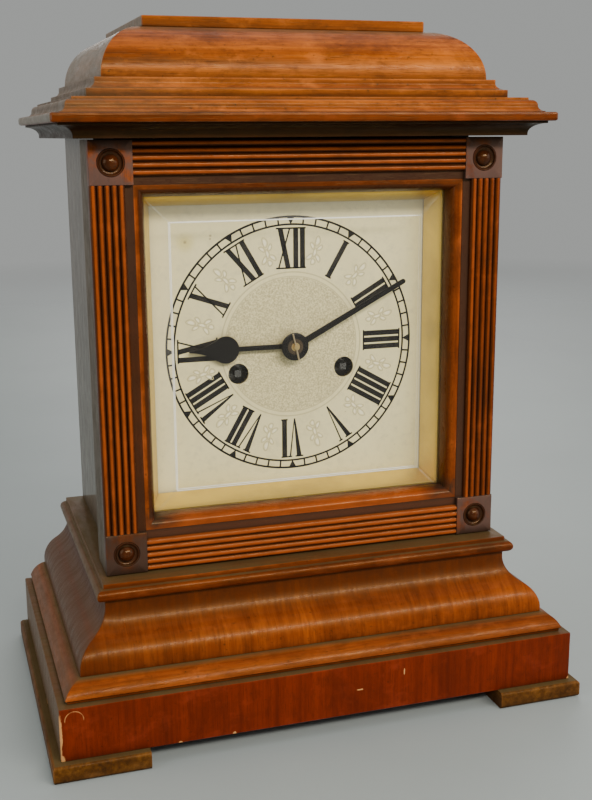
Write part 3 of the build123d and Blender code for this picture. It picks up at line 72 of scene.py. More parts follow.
BACK = HIGH["plinth_boards"][1]
BASE_CORNER = LOW["plinth_boards"][1] + HIGH["plinth_boards"][0]
CORNICE_CORNER = LOW["cornice_board"][1] + HIGH["cornice_board"][0]
DOOR_LOW = LOW["door_frame"]
DOOR_HIGH = HIGH["door_frame"]
Z_DIAL = (DOOR_LOW[2] + DOOR_HIGH[2]) / 2
DOOR_HALF = DOOR_HIGH[0]
DOOR_HALF_HEIGHT = DOOR_HIGH[2] - Z_DIAL
DOOR_FRONT = LOW["reeded_strips"][1]
FRAME_FRONT = HIGH["reeded_strips"][1]
BLOCK_FRONT = LOW["corner_blocks"][1]
BLOCK = DOOR_HALF - HIGH["sight_moulding"][0]
MEMBER_HALF = HIGH["sight_moulding"][0]
MEMBER_HALF_HEIGHT = HIGH["sight_moulding"][2] - Z_DIAL
SIGHT = 6.0
SIGHT_HALF = MEMBER_HALF - SIGHT
SIGHT_HALF_HEIGHT = MEMBER_HALF_HEIGHT - SIGHT
DIAL_FRONT = LOW["dial_plate"][1]

# Shape sizes of the mouldings, in millimetres
OVOLO_FILLET = 1.8
OVOLO_SET_IN = 1.0
OVOLO_REACH = 8.2
OVOLO_SWELL = 1.5
OGEE_FILLET = 2.2
OGEE_REACH = 15.4
OGEE_NECK = 3.0
CAP_STEP = 2.2
CAP_STEP_SET_IN = 3.6
STRIP_DEPTH = 26.0
BOARD = 12.0
BED_FILLET = 1.1
BED_COVE = 7.2
CYMA_LEDGE = 0.5
CYMA_COVE = 2.8
CYMA_OVOLO = 2.6
CYMA_SET_IN = 0.8
UPPER_BAND = 3.8
UPPER_COVE = 3.2
UPPER_SET_IN = 4.6
REEDS = 5
REED_PITCH = 3.3
REED_HEIGHT = 1.4
FILLET_SINK = 2.4
SIGHT_FACE = 2.0
SIGHT_SINK = 2.6
SIGHT_LIP = 1.6
SLIP_STEP = 5.2
BOSS_RADIUS = 6.3
BOSS_SINK = 2.0
BOSS_RIM = 0.5
BOSS_DISH = 1.3
BUTTON_RADIUS = 4.2
BUTTON_HEIGHT = 3.1
GLASS_BEVEL = 12.5
BEVEL_DROP = 1.2
DIAL_STAINS = (
    ((-55.0, 54.5), 6.0, (0.62, 0.52, 0.16)), ((-55.0, 54.8), 1.1, (0.16, 0.10, 0.04)),
    ((-42.0, 57.6), 0.9, (0.22, 0.15, 0.06)), ((-42.2, 56.0), 0.8, (0.22, 0.15, 0.06)),
)
MATT_RADIUS = 35.0
OUTER_RING = (37.6, 38.1)
INNER_RING = (35.4, 35.8)
RING_SPANS = ((-17.0, 197.0), (213.0, 327.0))
NUMERALS = ("XII", "I", "II", "III", "IIII", "V", "VI", "VII", "VIII", "IX", "X", "XI")
NUMERAL_WIDTHS = {"I": 3.6, "V": 8.6, "X": 8.8}
HAIRLINE = 0.8

# Leaves of an ornament: place across and outwards, half width, half length and turn in degrees
LEAVES = (
    (0.0, 55.0, 1.3, 2.6, 0.0), (-2.1, 52.0, 0.9, 1.9, 38.0), (2.1, 52.0, 0.9, 1.9, -38.0),
    (0.0, 49.0, 0.9, 2.4, 0.0), (-2.3, 46.4, 1.0, 2.2, -40.0), (2.3, 46.4, 1.0, 2.2, 40.0),
    (0.0, 44.2, 1.2, 1.6, 0.0),
)
LEAF_FILL = 0.62

# Stage, in metres, with the lens and the sensor in millimetres
GROUND_EDGE = 2.4
GROUND_RINGS = 24
GROUND_TURNS = 96
SKY = (0.86, 0.88, 0.86)
LIGHT_AIM = (0.0, 0.0, 0.17)
CAMERA_PLACE = (-0.1783, -0.5853, 0.2954)
CAMERA_TURN = (0.2231, -0.0418, 0.3092)
CAMERA_LENS = 52.0
CAMERA_SENSOR = 36.0
CAMERA_NEAR = 0.01

# Lights: the setting with the power, the place, the width and height, and the colour
LIGHTS = (
    ("key", (0.28, -1.30, 1.02), (1.4, 0.22), (1.0, 0.94, 0.84)),
    ("fill", (1.25, -0.85, 0.65), (1.0, 1.0), (0.95, 0.97, 1.0)),
    ("left", (-1.45, -0.15, 0.75), (1.2, 1.2), (0.97, 1.0, 0.97)),
    ("rear", (0.55, 1.55, 0.80), (1.2, 1.2), (1.0, 0.98, 0.95)),
    ("top", (0.1, 0.05, 1.55), (1.3, 1.3), (1.0, 0.98, 0.95)),
)


# Meshes
def grid_faces(rows, columns, closed_rows, closed_columns):
    """Quads of a grid of points numbered row by row. A closed direction joins its last line to its first."""
    row = np.arange(rows if closed_rows else rows - 1)
    column = np.arange(columns if closed_columns else columns - 1)
    a, b = np.meshgrid(row, column, indexing="ij")
    c = (a + 1) % rows
    d = (b + 1) % columns
    return np.stack([a * columns + b, c * columns + b, c * columns + d, a * columns + d], -1).reshape(-1, 4)


def tube_shell(points):
    """A shell from rings of points, (rings, points, 3), with a flat cap on the first and the last ring."""
    rings, count, _ = points.shape
    faces = grid_faces(rings, count, False, True).tolist()
    faces.append(list(range(count)))
    faces.append(list(range((rings - 1) * count, rings * count)))
    return points.reshape(-1, 3), faces


def loop_shell(points):
    """A shell from rings of points that close on themselves, (rings, points, 3)."""
    rings, count, _ = points.shape
    return points.reshape(-1, 3), grid_faces(rings, count, True, True).tolist()


def prism_shells(outlines, y0, y1):
    """Flat prisms of outlines with the same number of (x, z) points, (outlines, points, 2), from y0 to y1."""
    count, size, _ = outlines.shape
    rings = np.empty((count, 2, size, 3))
    rings[..., 0] = outlines[:, None, :, 0]
    rings[..., 2] = outlines[:, None, :, 1]
    rings[:, 0, :, 1] = y0
    rings[:, 1, :, 1] = y1
    return [tube_shell(ring) for ring in rings]


def arc(centre, radius, start, end, steps=10):
    """Points on a circle, or on an ellipse if radius is a pair, from a start to an end angle in degrees."""
    turn = np.radians(np.linspace(start, end, steps + 1))
    rx, rz = np.broadcast_to(radius, 2)
    return np.stack([centre[0] + rx * np.cos(turn), centre[1] + rz * np.sin(turn)], -1)


def swell(start, end, rise, steps=12):
    """Points on the circle from start to end that stands a rise off the middle of its chord, to its right."""
    start = np.asarray(start)
    chord = np.asarray(end) - start
    length = np.linalg.norm(chord)
    radius = (length**2 / 4 + rise**2) / (2 * rise)
    half = math.asin(length / 2 / radius)
    turn = np.linspace(-half, half, steps + 1)[:, None]
    along = chord / length
    right = np.array([along[1], -along[0]])
    return start + chord / 2 + along * radius * np.sin(turn) + right * (radius * np.cos(turn) - radius + rise)


def eased(outline, radius, steps=3):
    """A closed outline with each sharp corner rounded.

    A corner p between the points a and b on its two sides, each a radius away, becomes the curve
    (1-t)^2 a + 2t(1-t) p + t^2 b. Corners that turn less than 25 degrees stay as they are.
    """
    before = np.roll(outline, 1, 0) - outline
    after = np.roll(outline, -1, 0) - outline
    before_length = np.linalg.norm(before, axis=1)
    after_length = np.linalg.norm(after, axis=1)
    cosine = -(before * after).sum(1) / (before_length * after_length)
    sharp = cosine < math.cos(math.radians(25))
    reach = np.minimum(radius, 0.45 * np.minimum(before_length, after_length))
    a = outline + before / before_length[:, None] * reach[:, None]
    b = outline + after / after_length[:, None] * reach[:, None]
    t = np.linspace(0, 1, steps + 1)[None, :, None]
    curve = (1 - t) ** 2 * a[:, None] + 2 * t * (1 - t) * outline[:, None] + t**2 * b[:, None]
    curve[~sharp, 0] = outline[~sharp]
    keep = np.repeat(sharp[:, None], steps + 1, 1)
    keep[:, 0] = True
    return curve[keep]


def surround(outline, corner, ease=0.5, steps=30):
    """Carries a closed outline of (half width h, height z) along the left, the front and the right.

    On the left x is -h and y runs from the back to corner - h, on the front y is corner - h and x runs from
    -h to h, on the right x is h. Both turns are quarter circles of radius ease.
    """
    h, z = np.asarray(outline).T
    front = corner - h
    t = np.linspace(0, 1, steps + 1)[:, None]
    turn = np.linspace(0, math.pi / 2, 5)[1:-1, None]
    side_y = BACK + (front + ease - BACK) * t
    turn_x = h - ease * (1 - np.cos(turn))
    turn_y = front + ease * (1 - np.sin(turn))
    across = (h - ease) * (2 * t - 1)
    x = np.concatenate([-h + 0 * t, -turn_x, across, turn_x[::-1], h + 0 * t])
    y = np.concatenate([side_y, turn_y, front + 0 * t, turn_y[::-1], side_y[::-1]])
    return tube_shell(np.stack([x, y, z + 0 * x], -1))


def oblong(left, right, low, high):
    """The four corners of an upright rectangle."""
    return np.array([(left, low), (right, low), (right, high), (left, high)])


def window(outline, half_width, half_height):
    """Carries a closed outline of (distance outwards q, depth y) round an opening with four mitred corners.

    At a corner, x is plus or minus (half width + q), and z lies (half height + q) above or below the dial's
    middle.
    """
    q, y = np.asarray(outline).T
    signs = np.array([(1, 1), (-1, 1), (-1, -1), (1, -1)])
    x = signs[:, :1] * (half_width + q)
    z = Z_DIAL + signs[:, 1:] * (half_height + q)
    return loop_shell(np.stack([x, y + 0 * x, z], -1))


def lathe(profile, centre, turns=72):
    """Turns a profile of (radius, y) round a Y axis through centre, an (x, z) point. Both ends are closed."""
    r, y = np.asarray(profile).T
    angle = np.linspace(0, 2 * math.pi, turns, endpoint=False)[None]
    x = centre[0] + r[:, None] * np.cos(angle)
    z = centre[1] + r[:, None] * np.sin(angle)
    return tube_shell(np.stack([x, y[:, None] + 0 * x, z], -1))


def ring_shell(inner, outer, y0, y1, start=0.0, end=360.0):
    """A flat ring round the dial's centre: its four-cornered section turned round the Y axis.

    Degrees count anticlockwise from the right. A ring that goes less than all the way round has flat ends.
    """
    whole = end - start >= 360.0
    turns = int((end - start) * 0.7)
    r = np.array([inner, outer, outer, inner])[None]
    y = np.array([y0, y0, y1, y1])[None]
    angle = np.radians(np.linspace(start, end, turns, endpoint=not whole))[:, None]
    points = np.stack([r * np.cos(angle), y + 0 * angle, Z_DIAL + r * np.sin(angle)], -1)
    return loop_shell(points) if whole else tube_shell(points)


def on_dial(u, v, hours):
    """Turns points drawn upright, u to the right and v outwards, to an hour's place on the dial."""
    turn = np.radians(30.0 * hours)
    return u * np.cos(turn) + v * np.sin(turn), Z_DIAL - u * np.sin(turn) + v * np.cos(turn)


def piece(name, body, shells, material, angle=30.0):
    """One object made of shells, with outward normals, smooth where the surface turns less than the angle."""
    points = []
    faces = []
    start = 0
    for shell_points, shell_faces in shells:
        points.append(shell_points)
        faces += [[start + corner for corner in face] for face in shell_faces]
        start += len(shell_points)
    mesh = bpy.data.meshes.new(name)
    mesh.from_pydata((np.concatenate(points) * MM).tolist(), [], faces)
    work = bmesh.new()
    work.from_mesh(mesh)
    bmesh.ops.recalc_face_normals(work, faces=work.faces)
    work.to_mesh(mesh)
    work.free()
    mesh.polygons.foreach_set("use_smooth", np.ones(len(mesh.polygons), bool))
    mesh.set_sharp_from_angle(angle=math.radians(angle))
    mesh.materials.append(material)
    obj = bpy.data.objects.new(name, mesh)
    bpy.context.scene.collection.objects.link(obj)
    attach(obj, body)
    return obj


def finish_node(name, material, bevel=0.0):
    """Gives a CAD node its material and, if bevel isn't zero, eased edges of that many millimetres."""
    obj = frame["nodes"][name]
    obj.data.materials.clear()
    obj.data.materials.append(material)
    if bevel:
        weld = obj.modifiers.new("weld", "WELD")
        weld.merge_threshold = 1e-6
        ease = obj.modifiers.new("ease", "BEVEL")
        ease.width = bevel * MM
        ease.segments = 2
        ease.limit_method = "ANGLE"
        ease.angle_limit = math.radians(40)
        ease.use_clamp_overlap = True
    return obj


# Colours and tones. A wood has three: light, middle and dark. A metal has two: bright and tarnished
WARM = ((0.42, 0.098, 0.0035), (0.25, 0.049, 0.0016), (0.085, 0.014, 0.001))
RUST = ((0.28, 0.053, 0.0022), (0.18, 0.030, 0.0013), (0.085, 0.012, 0.001))
RED = ((0.18, 0.0150, 0.0008), (0.13, 0.0090, 0.0005), (0.085, 0.0055, 0.0005))
DEEP = ((0.22, 0.038, 0.002), (0.125, 0.019, 0.001), (0.040, 0.006, 0.001))
SHELF = ((0.19, 0.034, 0.002), (0.110, 0.017, 0.001), (0.045, 0.007, 0.001))
TURNED = ((0.075, 0.017, 0.004), (0.040, 0.008, 0.002), (0.016, 0.003, 0.001))
DARK = ((0.030, 0.008, 0.002), (0.015, 0.004, 0.001), (0.006, 0.002, 0.001))
# Tones of the case sides and the door frame: painted shade and painted grey reflection
SIDE_SHADE_AND_REFLECTION = ((0.120, 0.093, 0.066), (0.096, 0.074, 0.053), (0.064, 0.049, 0.035))
RAW = ((0.32, 0.19, 0.09), (0.22, 0.12, 0.055), (0.12, 0.06, 0.028))
DULL = ((0.16, 0.060, 0.010), (0.09, 0.030, 0.004), (0.035, 0.011, 0.002))
SHEEN = (1.0, 0.60, 0.22)
DUST = (0.080, 0.055, 0.022)
# Painted shade in crevices and corners, together with soiling
GRIME_AND_SHADE = (0.012, 0.007, 0.004)
FLECK = (0.014, 0.008, 0.004)
# Painted shade with a worn finish, for faces turned left or right
SIDE_WEAR_AND_SHADE = (0.100, 0.062, 0.030)
# Painted grey reflection on the cornice's faces turned left or right
SIDE_REFLECTION_GREY = (0.190, 0.178, 0.142)
UNSTAINED = (0.20, 0.112, 0.050)
BARE = (0.55, 0.26, 0.09)
# Lighter wood: wear together with painted light and painted highlight
WEAR_AND_PAINTED_LIGHT = (0.36, 0.068, 0.009)
OLD_POLISH_AND_SHADE = (0.055, 0.010, 0.002)
DULL_POLISH = (0.080, 0.046, 0.022)
# Painted shade on the reeds' flanks
REED_FLANK_SHADE = (0.030, 0.008, 0.003)
REED_FILLET = (0.040, 0.019, 0.013)
SIGHT_HOLLOW_SHADE = (0.034, 0.009, 0.003)
SIGHT_DIRT = (0.018, 0.012, 0.009)
BLOCK_GREY_REFLECTION = (0.085, 0.056, 0.050)
BLOCK_SHADE = (0.026, 0.013, 0.009)
BLOCK_LOW = (0.024, 0.014, 0.010)
RUBBED_PAINT = (0.16, 0.13, 0.09)
BRONZE_BUSH = (0.060, 0.042, 0.024)
SILVER = (0.87, 0.78, 0.43)
SILVER_CLOUD = (0.78, 0.69, 0.37)
SILVER_FINE = (0.42, 0.37, 0.24)
SILVER_RELIEF = (0.42, 0.35, 0.17)
SILVER_LEAF = (1.0, 0.93, 0.66)
SILVER_PIT = (0.38, 0.31, 0.14)
SILVER_MATT = (0.56, 0.48, 0.26)
SILVER_SPECK = (0.20, 0.14, 0.07)
SILVER_SHADE = (0.22, 0.17, 0.09)
GLASS_AND_HIGHLIGHT = (1.0, 0.97, 0.88)
HAND_BLACK = (0.003, 0.0025, 0.002)
IRON = (0.020, 0.019, 0.018)
GILT = ((0.78, 0.57, 0.09), (0.60, 0.42, 0.06))
BRASS = ((0.72, 0.52, 0.22), (0.34, 0.22, 0.08))
PIN_BRASS = ((0.66, 0.52, 0.33), (0.36, 0.26, 0.14))
STEEL = ((0.46, 0.46, 0.47), (0.16, 0.14, 0.12))
DIM_STEEL = ((0.17, 0.16, 0.15), (0.05, 0.045, 0.04))


# Materials
class Term:
    """A value in a material's node tree. Arithmetic with it adds the nodes that work it out."""

    def __init__(self, nodes, socket):
        self.nodes = nodes
        self.socket = socket

    def __add__(self, other):
        return self.nodes.sum("ADD", self, other)

    def __sub__(self, other):
        return self.nodes.sum("SUBTRACT", self, other)

    def __rsub__(self, other):
        return self.nodes.sum("SUBTRACT", other, self)

    def __mul__(self, other):
        return self.nodes.sum("MULTIPLY", self, other)

    def __abs__(self):
        return self.nodes.sum("ABSOLUTE", self)


class Nodes:
    """Builds the node tree of one material."""

    def __init__(self, name):
        self.material = bpy.data.materials.new(name)
        self.material.use_nodes = True
        self.tree = self.material.node_tree
        self.tree.nodes.clear()

    def add(self, kind, inputs=None, **settings):
        """A shader node with its settings and its inputs, each a constant or a term."""
        node = self.tree.nodes.new("ShaderNode" + kind)
        for key, value in settings.items():
            setattr(node, key, value)
        for key, value in (inputs or {}).items():
            self.put(node.inputs[key], value)
        return node

    def put(self, socket, value):
        """Links a socket to a term or sets its constant. A colour gets full alpha."""
        if isinstance(value, Term):
            self.tree.links.new(value.socket, socket)
        elif socket.type == "RGBA":
            socket.default_value = (*value, 1.0)
        else:
            socket.default_value = value

    def term(self, kind, inputs=None, output=0, **settings):
        """One output of a new node."""
        return Term(self, self.add(kind, inputs, **settings).outputs[output])

    def sum(self, operation, a, b=0.0):
        """One step of arithmetic."""
        return self.term("Math", {0: a, 1: b}, operation=operation)

    def most(self, a, b):
        """The larger of two values."""
        return self.sum("MAXIMUM", a, b)

    def away(self, a, b):
        """The root of the squares of two values."""
        return self.sum("SQRT", a * a + b * b)

    def split(self, output):
        """The x, y and z of one output of the texture coordinates."""
        parts = self.add("SeparateXYZ", {"Vector": self.term("TexCoord", output=output)})
        return [Term(self, socket) for socket in parts.outputs]

    def place(self):
        """The x, y and z of the point that is shaded, in metres."""
        return self.split("Object")

    def join(self, x, y, z):
        """A vector from three values."""
        return self.term("CombineXYZ", {"X": x, "Y": y, "Z": z})

    def pick(self, factor, a, b):
        """Vector a where factor is 0, vector b where it is 1."""
        return self.term("Mix", {0: factor, 4: a, 5: b}, 1, data_type="VECTOR")

    def mix(self, factor, a, b):
        """Colour a where factor is 0, colour b where it is 1."""
        return self.term("Mix", {0: factor, 6: a, 7: b}, 2, data_type="RGBA")

    def noise(self, vector, scale, detail=4.0, rough=0.55, bend=0.0):
        """Noise over a vector stretched by a scale, or by one for each direction."""
        stretched = self.term("VectorMath", {0: vector, 1: np.broadcast_to(scale, 3)}, operation="MULTIPLY")
        inputs = {"Vector": stretched, "Scale": 1.0, "Detail": detail, "Roughness": rough, "Distortion": bend}
        return self.term("TexNoise", inputs)

    def span(self, value, low, high, to_low=0.0, to_high=1.0):
        """Maps a value from one span to another, clamped."""
        return self.term("MapRange", {0: value, 1: low, 2: high, 3: to_low, 4: to_high}, clamp=True)

    def within(self, length, low, high, to_low=0.0, to_high=1.0):
        """Maps a length from a span in millimetres to another span, clamped."""
        return self.span(length, low * MM, high * MM, to_low, to_high)

    def ramp(self, value, stops):
        """Colours along a value."""
        node = self.add("ValToRGB", {0: value})
        elements = node.color_ramp.elements
        elements[0].position = stops[0][0]
        elements[1].position = stops[-1][0]
        for position, _ in stops[1:-1]:
            elements.new(position)
        for element, (_, colour) in zip(elements, stops):
            element.color = (*colour, 1.0)
        return Term(self, node.outputs[0])

    def open_sky(self, distance, **settings):
        """How open the surface is within a distance in millimetres: 1 in the open, less in a crevice."""
        return self.term("AmbientOcclusion", {"Distance": distance * MM}, "AO", samples=8, **settings)

    def edges(self, distance):
        """How near an outer edge is, within a distance in millimetres."""
        return 1.0 - self.open_sky(distance, inside=True, only_local=True)

    def spot(self, at, radii):
        """1 at a point, in millimetres, fading to 0 at three radii."""
        whole = self.term("TexCoord", output="Object")
        off = self.term("VectorMath", {0: whole, 1: np.array(at) * MM}, operation="SUBTRACT")
        share = self.term("VectorMath", {0: off, 1: 1 / (np.array(radii) * MM)}, operation="MULTIPLY")
        length = self.term("VectorMath", {0: share}, "Value", operation="LENGTH")
        return self.span(length, 0.3, 1.0, 1.0, 0.0)

    def finish(self, height=None, bump=0.2, **inputs):
        """The surface shader, with a bump if a height is given."""
        named = {key.replace("_", " "): value for key, value in inputs.items()}
        if height is not None:
            named["Normal"] = self.term("Bump", {"Strength": bump, "Distance": 0.4 * MM, "Height": height})
        self.add("OutputMaterial", {"Surface": self.term("BsdfPrincipled", named)})
        return self.material


def scaled(colour, share, lift=0.0):
    """A colour times a share, plus a lift, at most 1."""
    return tuple(min(1.0, share * channel + lift) for channel in colour)


def grain_of(nodes, grain, corner):
    """The vector along the grain first, then across it.

    "x", "y" and "z" name one direction. "round" runs along the front strip where |x| + y is less than the
    corner and along the side strips elsewhere. "veneer" runs up the front and up the sides and leaves out the
    depth. "frame" runs up the stiles and along the rails of the door. "mitre" does the same with the join on
    the diagonal.
    """
    x, y, z = nodes.place()
    along = {"x": nodes.join(x, y, z), "y": nodes.join(y, x, z), "z": nodes.join(z, x, y)}
    if grain in along:
        return along[grain]
    in_front = nodes.sum("LESS_THAN", abs(x) + y, corner * MM)
    if grain == "round":
        return nodes.pick(in_front, along["y"], along["x"])
    if grain == "veneer":
        return nodes.pick(in_front, nodes.join(z, y, 0.0), nodes.join(z, x, 0.0))
    if grain == "frame":
        return nodes.pick(nodes.sum("GREATER_THAN", abs(x), MEMBER_HALF * MM), along["x"], along["z"])
    beside = abs(x) - (SIGHT_HALF - SIGHT_HALF_HEIGHT) * MM
    return nodes.pick(nodes.sum("GREATER_THAN", beside, abs(z - Z_DIAL * MM)), along["x"], along["z"])


def wood(name, grain, tones, corner=0.0, gloss=0.3, dirt_and_shade_share=0.7, wear=0.35, figure=1.0, marks=None, coat=0.03,
         side=0.0, dust=1.0, stain=SIDE_WEAR_AND_SHADE):
    """Polished old wood: fibres, bands and clouds along the grain, pores, soiling with painted shade in
    crevices, worn edges and marks.

    Dust lies on what faces up, by the share dust. By the share side, a plain tone from stain is painted on
    what faces left or right, as painted shade and reflection on those faces, and what faces back is bare wood.
    """
    settings = bpy.context.scene.clock_wood
    worn = wear * settings.wear
    dirt_and_shade_amount = dirt_and_shade_share * settings.dirt_and_shade_share
    nodes = Nodes(name)
    along = grain_of(nodes, grain, corner)
    light, middle, dark = tones
    fibre = nodes.noise(along, (9.0, 430.0, 430.0), 6.0, 0.62)
    bands = nodes.noise(along, (5.0, 110.0 * figure, 110.0 * figure), 3.0, 0.5, 0.4)
    cloud = nodes.noise(along, (22.0, 30.0, 30.0), 3.0, 0.6)
    pattern = fibre * 0.42 + bands * 0.33 + cloud * 0.25
    colour = nodes.ramp(pattern, [(0.38, dark), (0.50, middle), (0.62, light)])
    pores = nodes.span(nodes.noise(along, (85.0, 2300.0, 2300.0), 2.0, 0.5), 0.58, 0.70)
    colour = nodes.mix(pores * 0.55, colour, scaled(dark, 0.6))
    rubbed = nodes.span(nodes.edges(1.6), 0.16, 0.42) * nodes.span(cloud, 0.40, 0.62) * worn
    colour = nodes.mix(rubbed, colour, scaled(light, 1.5, 0.02))
    whole = nodes.join(*nodes.place())
    glow = nodes.span(nodes.noise(whole, (46.0, 70.0, 70.0), 5.0, 0.65), 0.54, 0.70, 0.0, 0.7 * worn)
    colour = nodes.mix(glow, colour, scaled(light, 1.4, 0.012))
    blots = nodes.span(nodes.noise(whole, 34.0, 7.0, 0.70, 0.5), 0.49, 0.68, 0.0, 0.8 * dirt_and_shade_amount)
    colour = nodes.mix(blots, colour, scaled(dark, 0.9))
    flecks = nodes.noise(whole, (420.0, 520.0, 520.0), 3.0, 0.6)
    colour = nodes.mix(nodes.span(flecks, 0.64, 0.73, 0.0, 0.8 * dirt_and_shade_share), colour, FLECK)
    # Painted shade in crevices and corners, together with soiling: darker where the surface is shut in
    shut = nodes.span(nodes.open_sky(9.0), 0.35, 0.92, 1.0, 0.0)
    crease = nodes.span(nodes.open_sky(3.5), 0.35, 0.84, 1.0, 0.0)
    dirt_and_shade = nodes.most(shut * nodes.span(cloud, 0.2, 0.6, 0.55, 1.0), crease) * dirt_and_shade_amount
    colour = nodes.mix(dirt_and_shade, colour, GRIME_AND_SHADE)
    smudge = nodes.noise(along, (90.0, 260.0, 260.0), 5.0, 0.7)
    colour = nodes.mix(nodes.span(smudge, 0.50, 0.72, 0.0, 0.65), colour, scaled(dark, 0.7))
    facing_x, facing_y, facing_z = nodes.split("Normal")
    # Painted shade and reflection: faces turned left or right get the plain side tone of stain
    colour = nodes.mix(nodes.span(abs(facing_x), 0.3, 0.6, 0.0, side), colour, stain)
    streaks = nodes.span(nodes.noise(whole, (9.0, 260.0, 260.0), 6.0, 0.62), 0.36, 0.64)
    bare = nodes.mix(streaks, scaled(UNSTAINED, 0.5), UNSTAINED)
    colour = nodes.mix(nodes.span(facing_y, 0.5, 0.8, 0.0, min(0.9, 1.7 * side)), colour, bare)
    lying = nodes.span(facing_z, 0.86, 0.985, 0.0, dust) * nodes.span(cloud, 0.3, 0.6, 0.5, 0.9)
    colour = nodes.mix(lying, colour, DUST)
    if marks:
        for share, shade in marks(nodes, smudge):
            colour = nodes.mix(share, colour, shade)
    rough = nodes.span(smudge, 0.3, 0.7, gloss - 0.05, gloss + 0.2) + nodes.most(dirt_and_shade, lying) * 0.3
    return nodes.finish(
        fibre * 0.5 - pores * 0.7, 0.22, Base_Color=colour, Roughness=rough, Specular_IOR_Level=0.28,
        Specular_Tint=SHEEN, Coat_Weight=coat, Coat_Roughness=0.12,
    )


def plinth_marks(nodes, smudge):
    """Bare wood on the plinth: its front left edge, a hooked scratch beside it and small chips."""
    x0, y0, z0 = LOW["plinth_boards"]
    z1 = HIGH["plinth_boards"][2]
    x, y, z = nodes.place()
    chips = [
        ((x0, y0, z0 + 13.0), (2.0, 2.0, 16.5)), ((x0, y0, z0 + 1.0), (3.0, 2.6, 4.0)),
        ((x0 + 57.0, y0, z0), (2.0, 1.4, 1.6)), ((x0 + 84.0, y0, z0), (1.7, 1.4, 2.2)),
        ((39.0, y0, z1 - 7.5), (0.6, 1.0, 3.2)), ((15.0, y0, z0 + 13.0), (2.6, 1.0, 0.6)),
        ((-x0, y0, z0), (2.4, 2.4, 2.6)), ((x0, y0 + 62.0, z0), (2.0, 5.0, 1.8)),
    ]
    ragged = nodes.span(smudge, 0.36, 0.64, 0.0, 0.6)
    bare = 0.0
    for at, radii in chips:
        bare = nodes.most(bare, nodes.span(nodes.spot(at, radii) - ragged, 0.12, 0.3))
    up = z - (z1 - 6.0) * MM
    off = abs(nodes.away(x - (x0 + 7.0) * MM, up) - 4.4 * MM)
    hook = nodes.within(off, 0.05, 0.34, 0.9, 0.0) * nodes.within(up, -0.8, 0.0)
    hook = hook * nodes.within(y, y0 + 0.5, y0 + 1.0, 1.0, 0.0) * nodes.span(smudge, 0.4, 0.6, 1.0, 0.35)
    return [(nodes.most(bare, hook), BARE)]


def ogee_marks(nodes, smudge):
    """Painted shade in the ogee's hollow under the cap, and old polish gone dark towards its left end."""
    x0, _, z0 = LOW["base_ogee"]
    rise = HIGH["base_ogee"][2] - z0
    x, _, z = nodes.place()
    # Painted shade in the hollow under the cap
    hollow = nodes.within(z, z0 + 0.40 * rise, z0 + 0.72 * rise, 0.0, 0.92)
    left = nodes.within(x, x0 + 5.0, x0 + 85.0, 0.6, 0.0)
    return [(nodes.most(hollow, left) * nodes.span(smudge, 0.35, 0.65, 0.8, 1.0), OLD_POLISH_AND_SHADE)]


def cyma_marks(nodes, smudge):
    """Old polish gone dull towards the left end of the cornice."""
    x0 = LOW["cornice_cymatium"][0]
    left = nodes.within(nodes.place()[0], x0 + 10.0, x0 + 75.0, 0.75, 0.0)
    return [(left * nodes.span(smudge, 0.35, 0.65, 0.6, 1.0), DULL_POLISH)]


def reed_marks(nodes, smudge):
    """Reeds with crests lighter by wear and a painted highlight, flanks darkened as painted shade, a lower
    rail lighter by painted light and wear, and a darker flat fillet beside them.

    The depth behind the door's front parts crest from flank, less so on the right stile's outer reeds. The
    fillet is less dark low on the left stile.
    """
    x, y, z = nodes.place()
    deep = y - DOOR_FRONT * MM
    # Painted shade on the flanks; the crests lighter by wear and a painted highlight
    flank = nodes.within(deep, 0.07 * REED_HEIGHT, 0.24 * REED_HEIGHT, 0.0, 0.72)
    crest = nodes.within(deep, 0.03 * REED_HEIGHT, 0.13 * REED_HEIGHT, 0.7, 0.0)
    crest = crest * nodes.span(smudge, 0.35, 0.65, 1.0, 0.5)
    beside = abs(x) - MEMBER_HALF * MM
    above = abs(z - Z_DIAL * MM) - MEMBER_HALF_HEIGHT * MM
    edge = BLOCK - REEDS * REED_PITCH
    flat = nodes.within(nodes.most(beside, above), edge - 0.2, edge, 0.85, 0.0)
    right = nodes.within(x, MEMBER_HALF, MEMBER_HALF + 1.0)
    even = 1.0 - right * nodes.within(beside, edge + REED_PITCH - 0.2, edge + REED_PITCH, 0.1, 0.55)
    left = nodes.within(x, -2.0, 0.0, 1.0, 0.0) * nodes.within(above, -1.0, 0.0, 1.0, 0.0)
    left = left * nodes.within(z, Z_DIAL, Z_DIAL + 45.0, 0.6, 0.0)
    low = lit_and_worn_rail(nodes, smudge, MEMBER_HALF_HEIGHT) * nodes.within(beside, -1.0, 0.0, 1.0, 0.0)
    return [
        (flank * even, REED_FLANK_SHADE), (crest * even, WEAR_AND_PAINTED_LIGHT), (low, WEAR_AND_PAINTED_LIGHT),
        (flat * (1.0 - left), REED_FILLET),
    ]


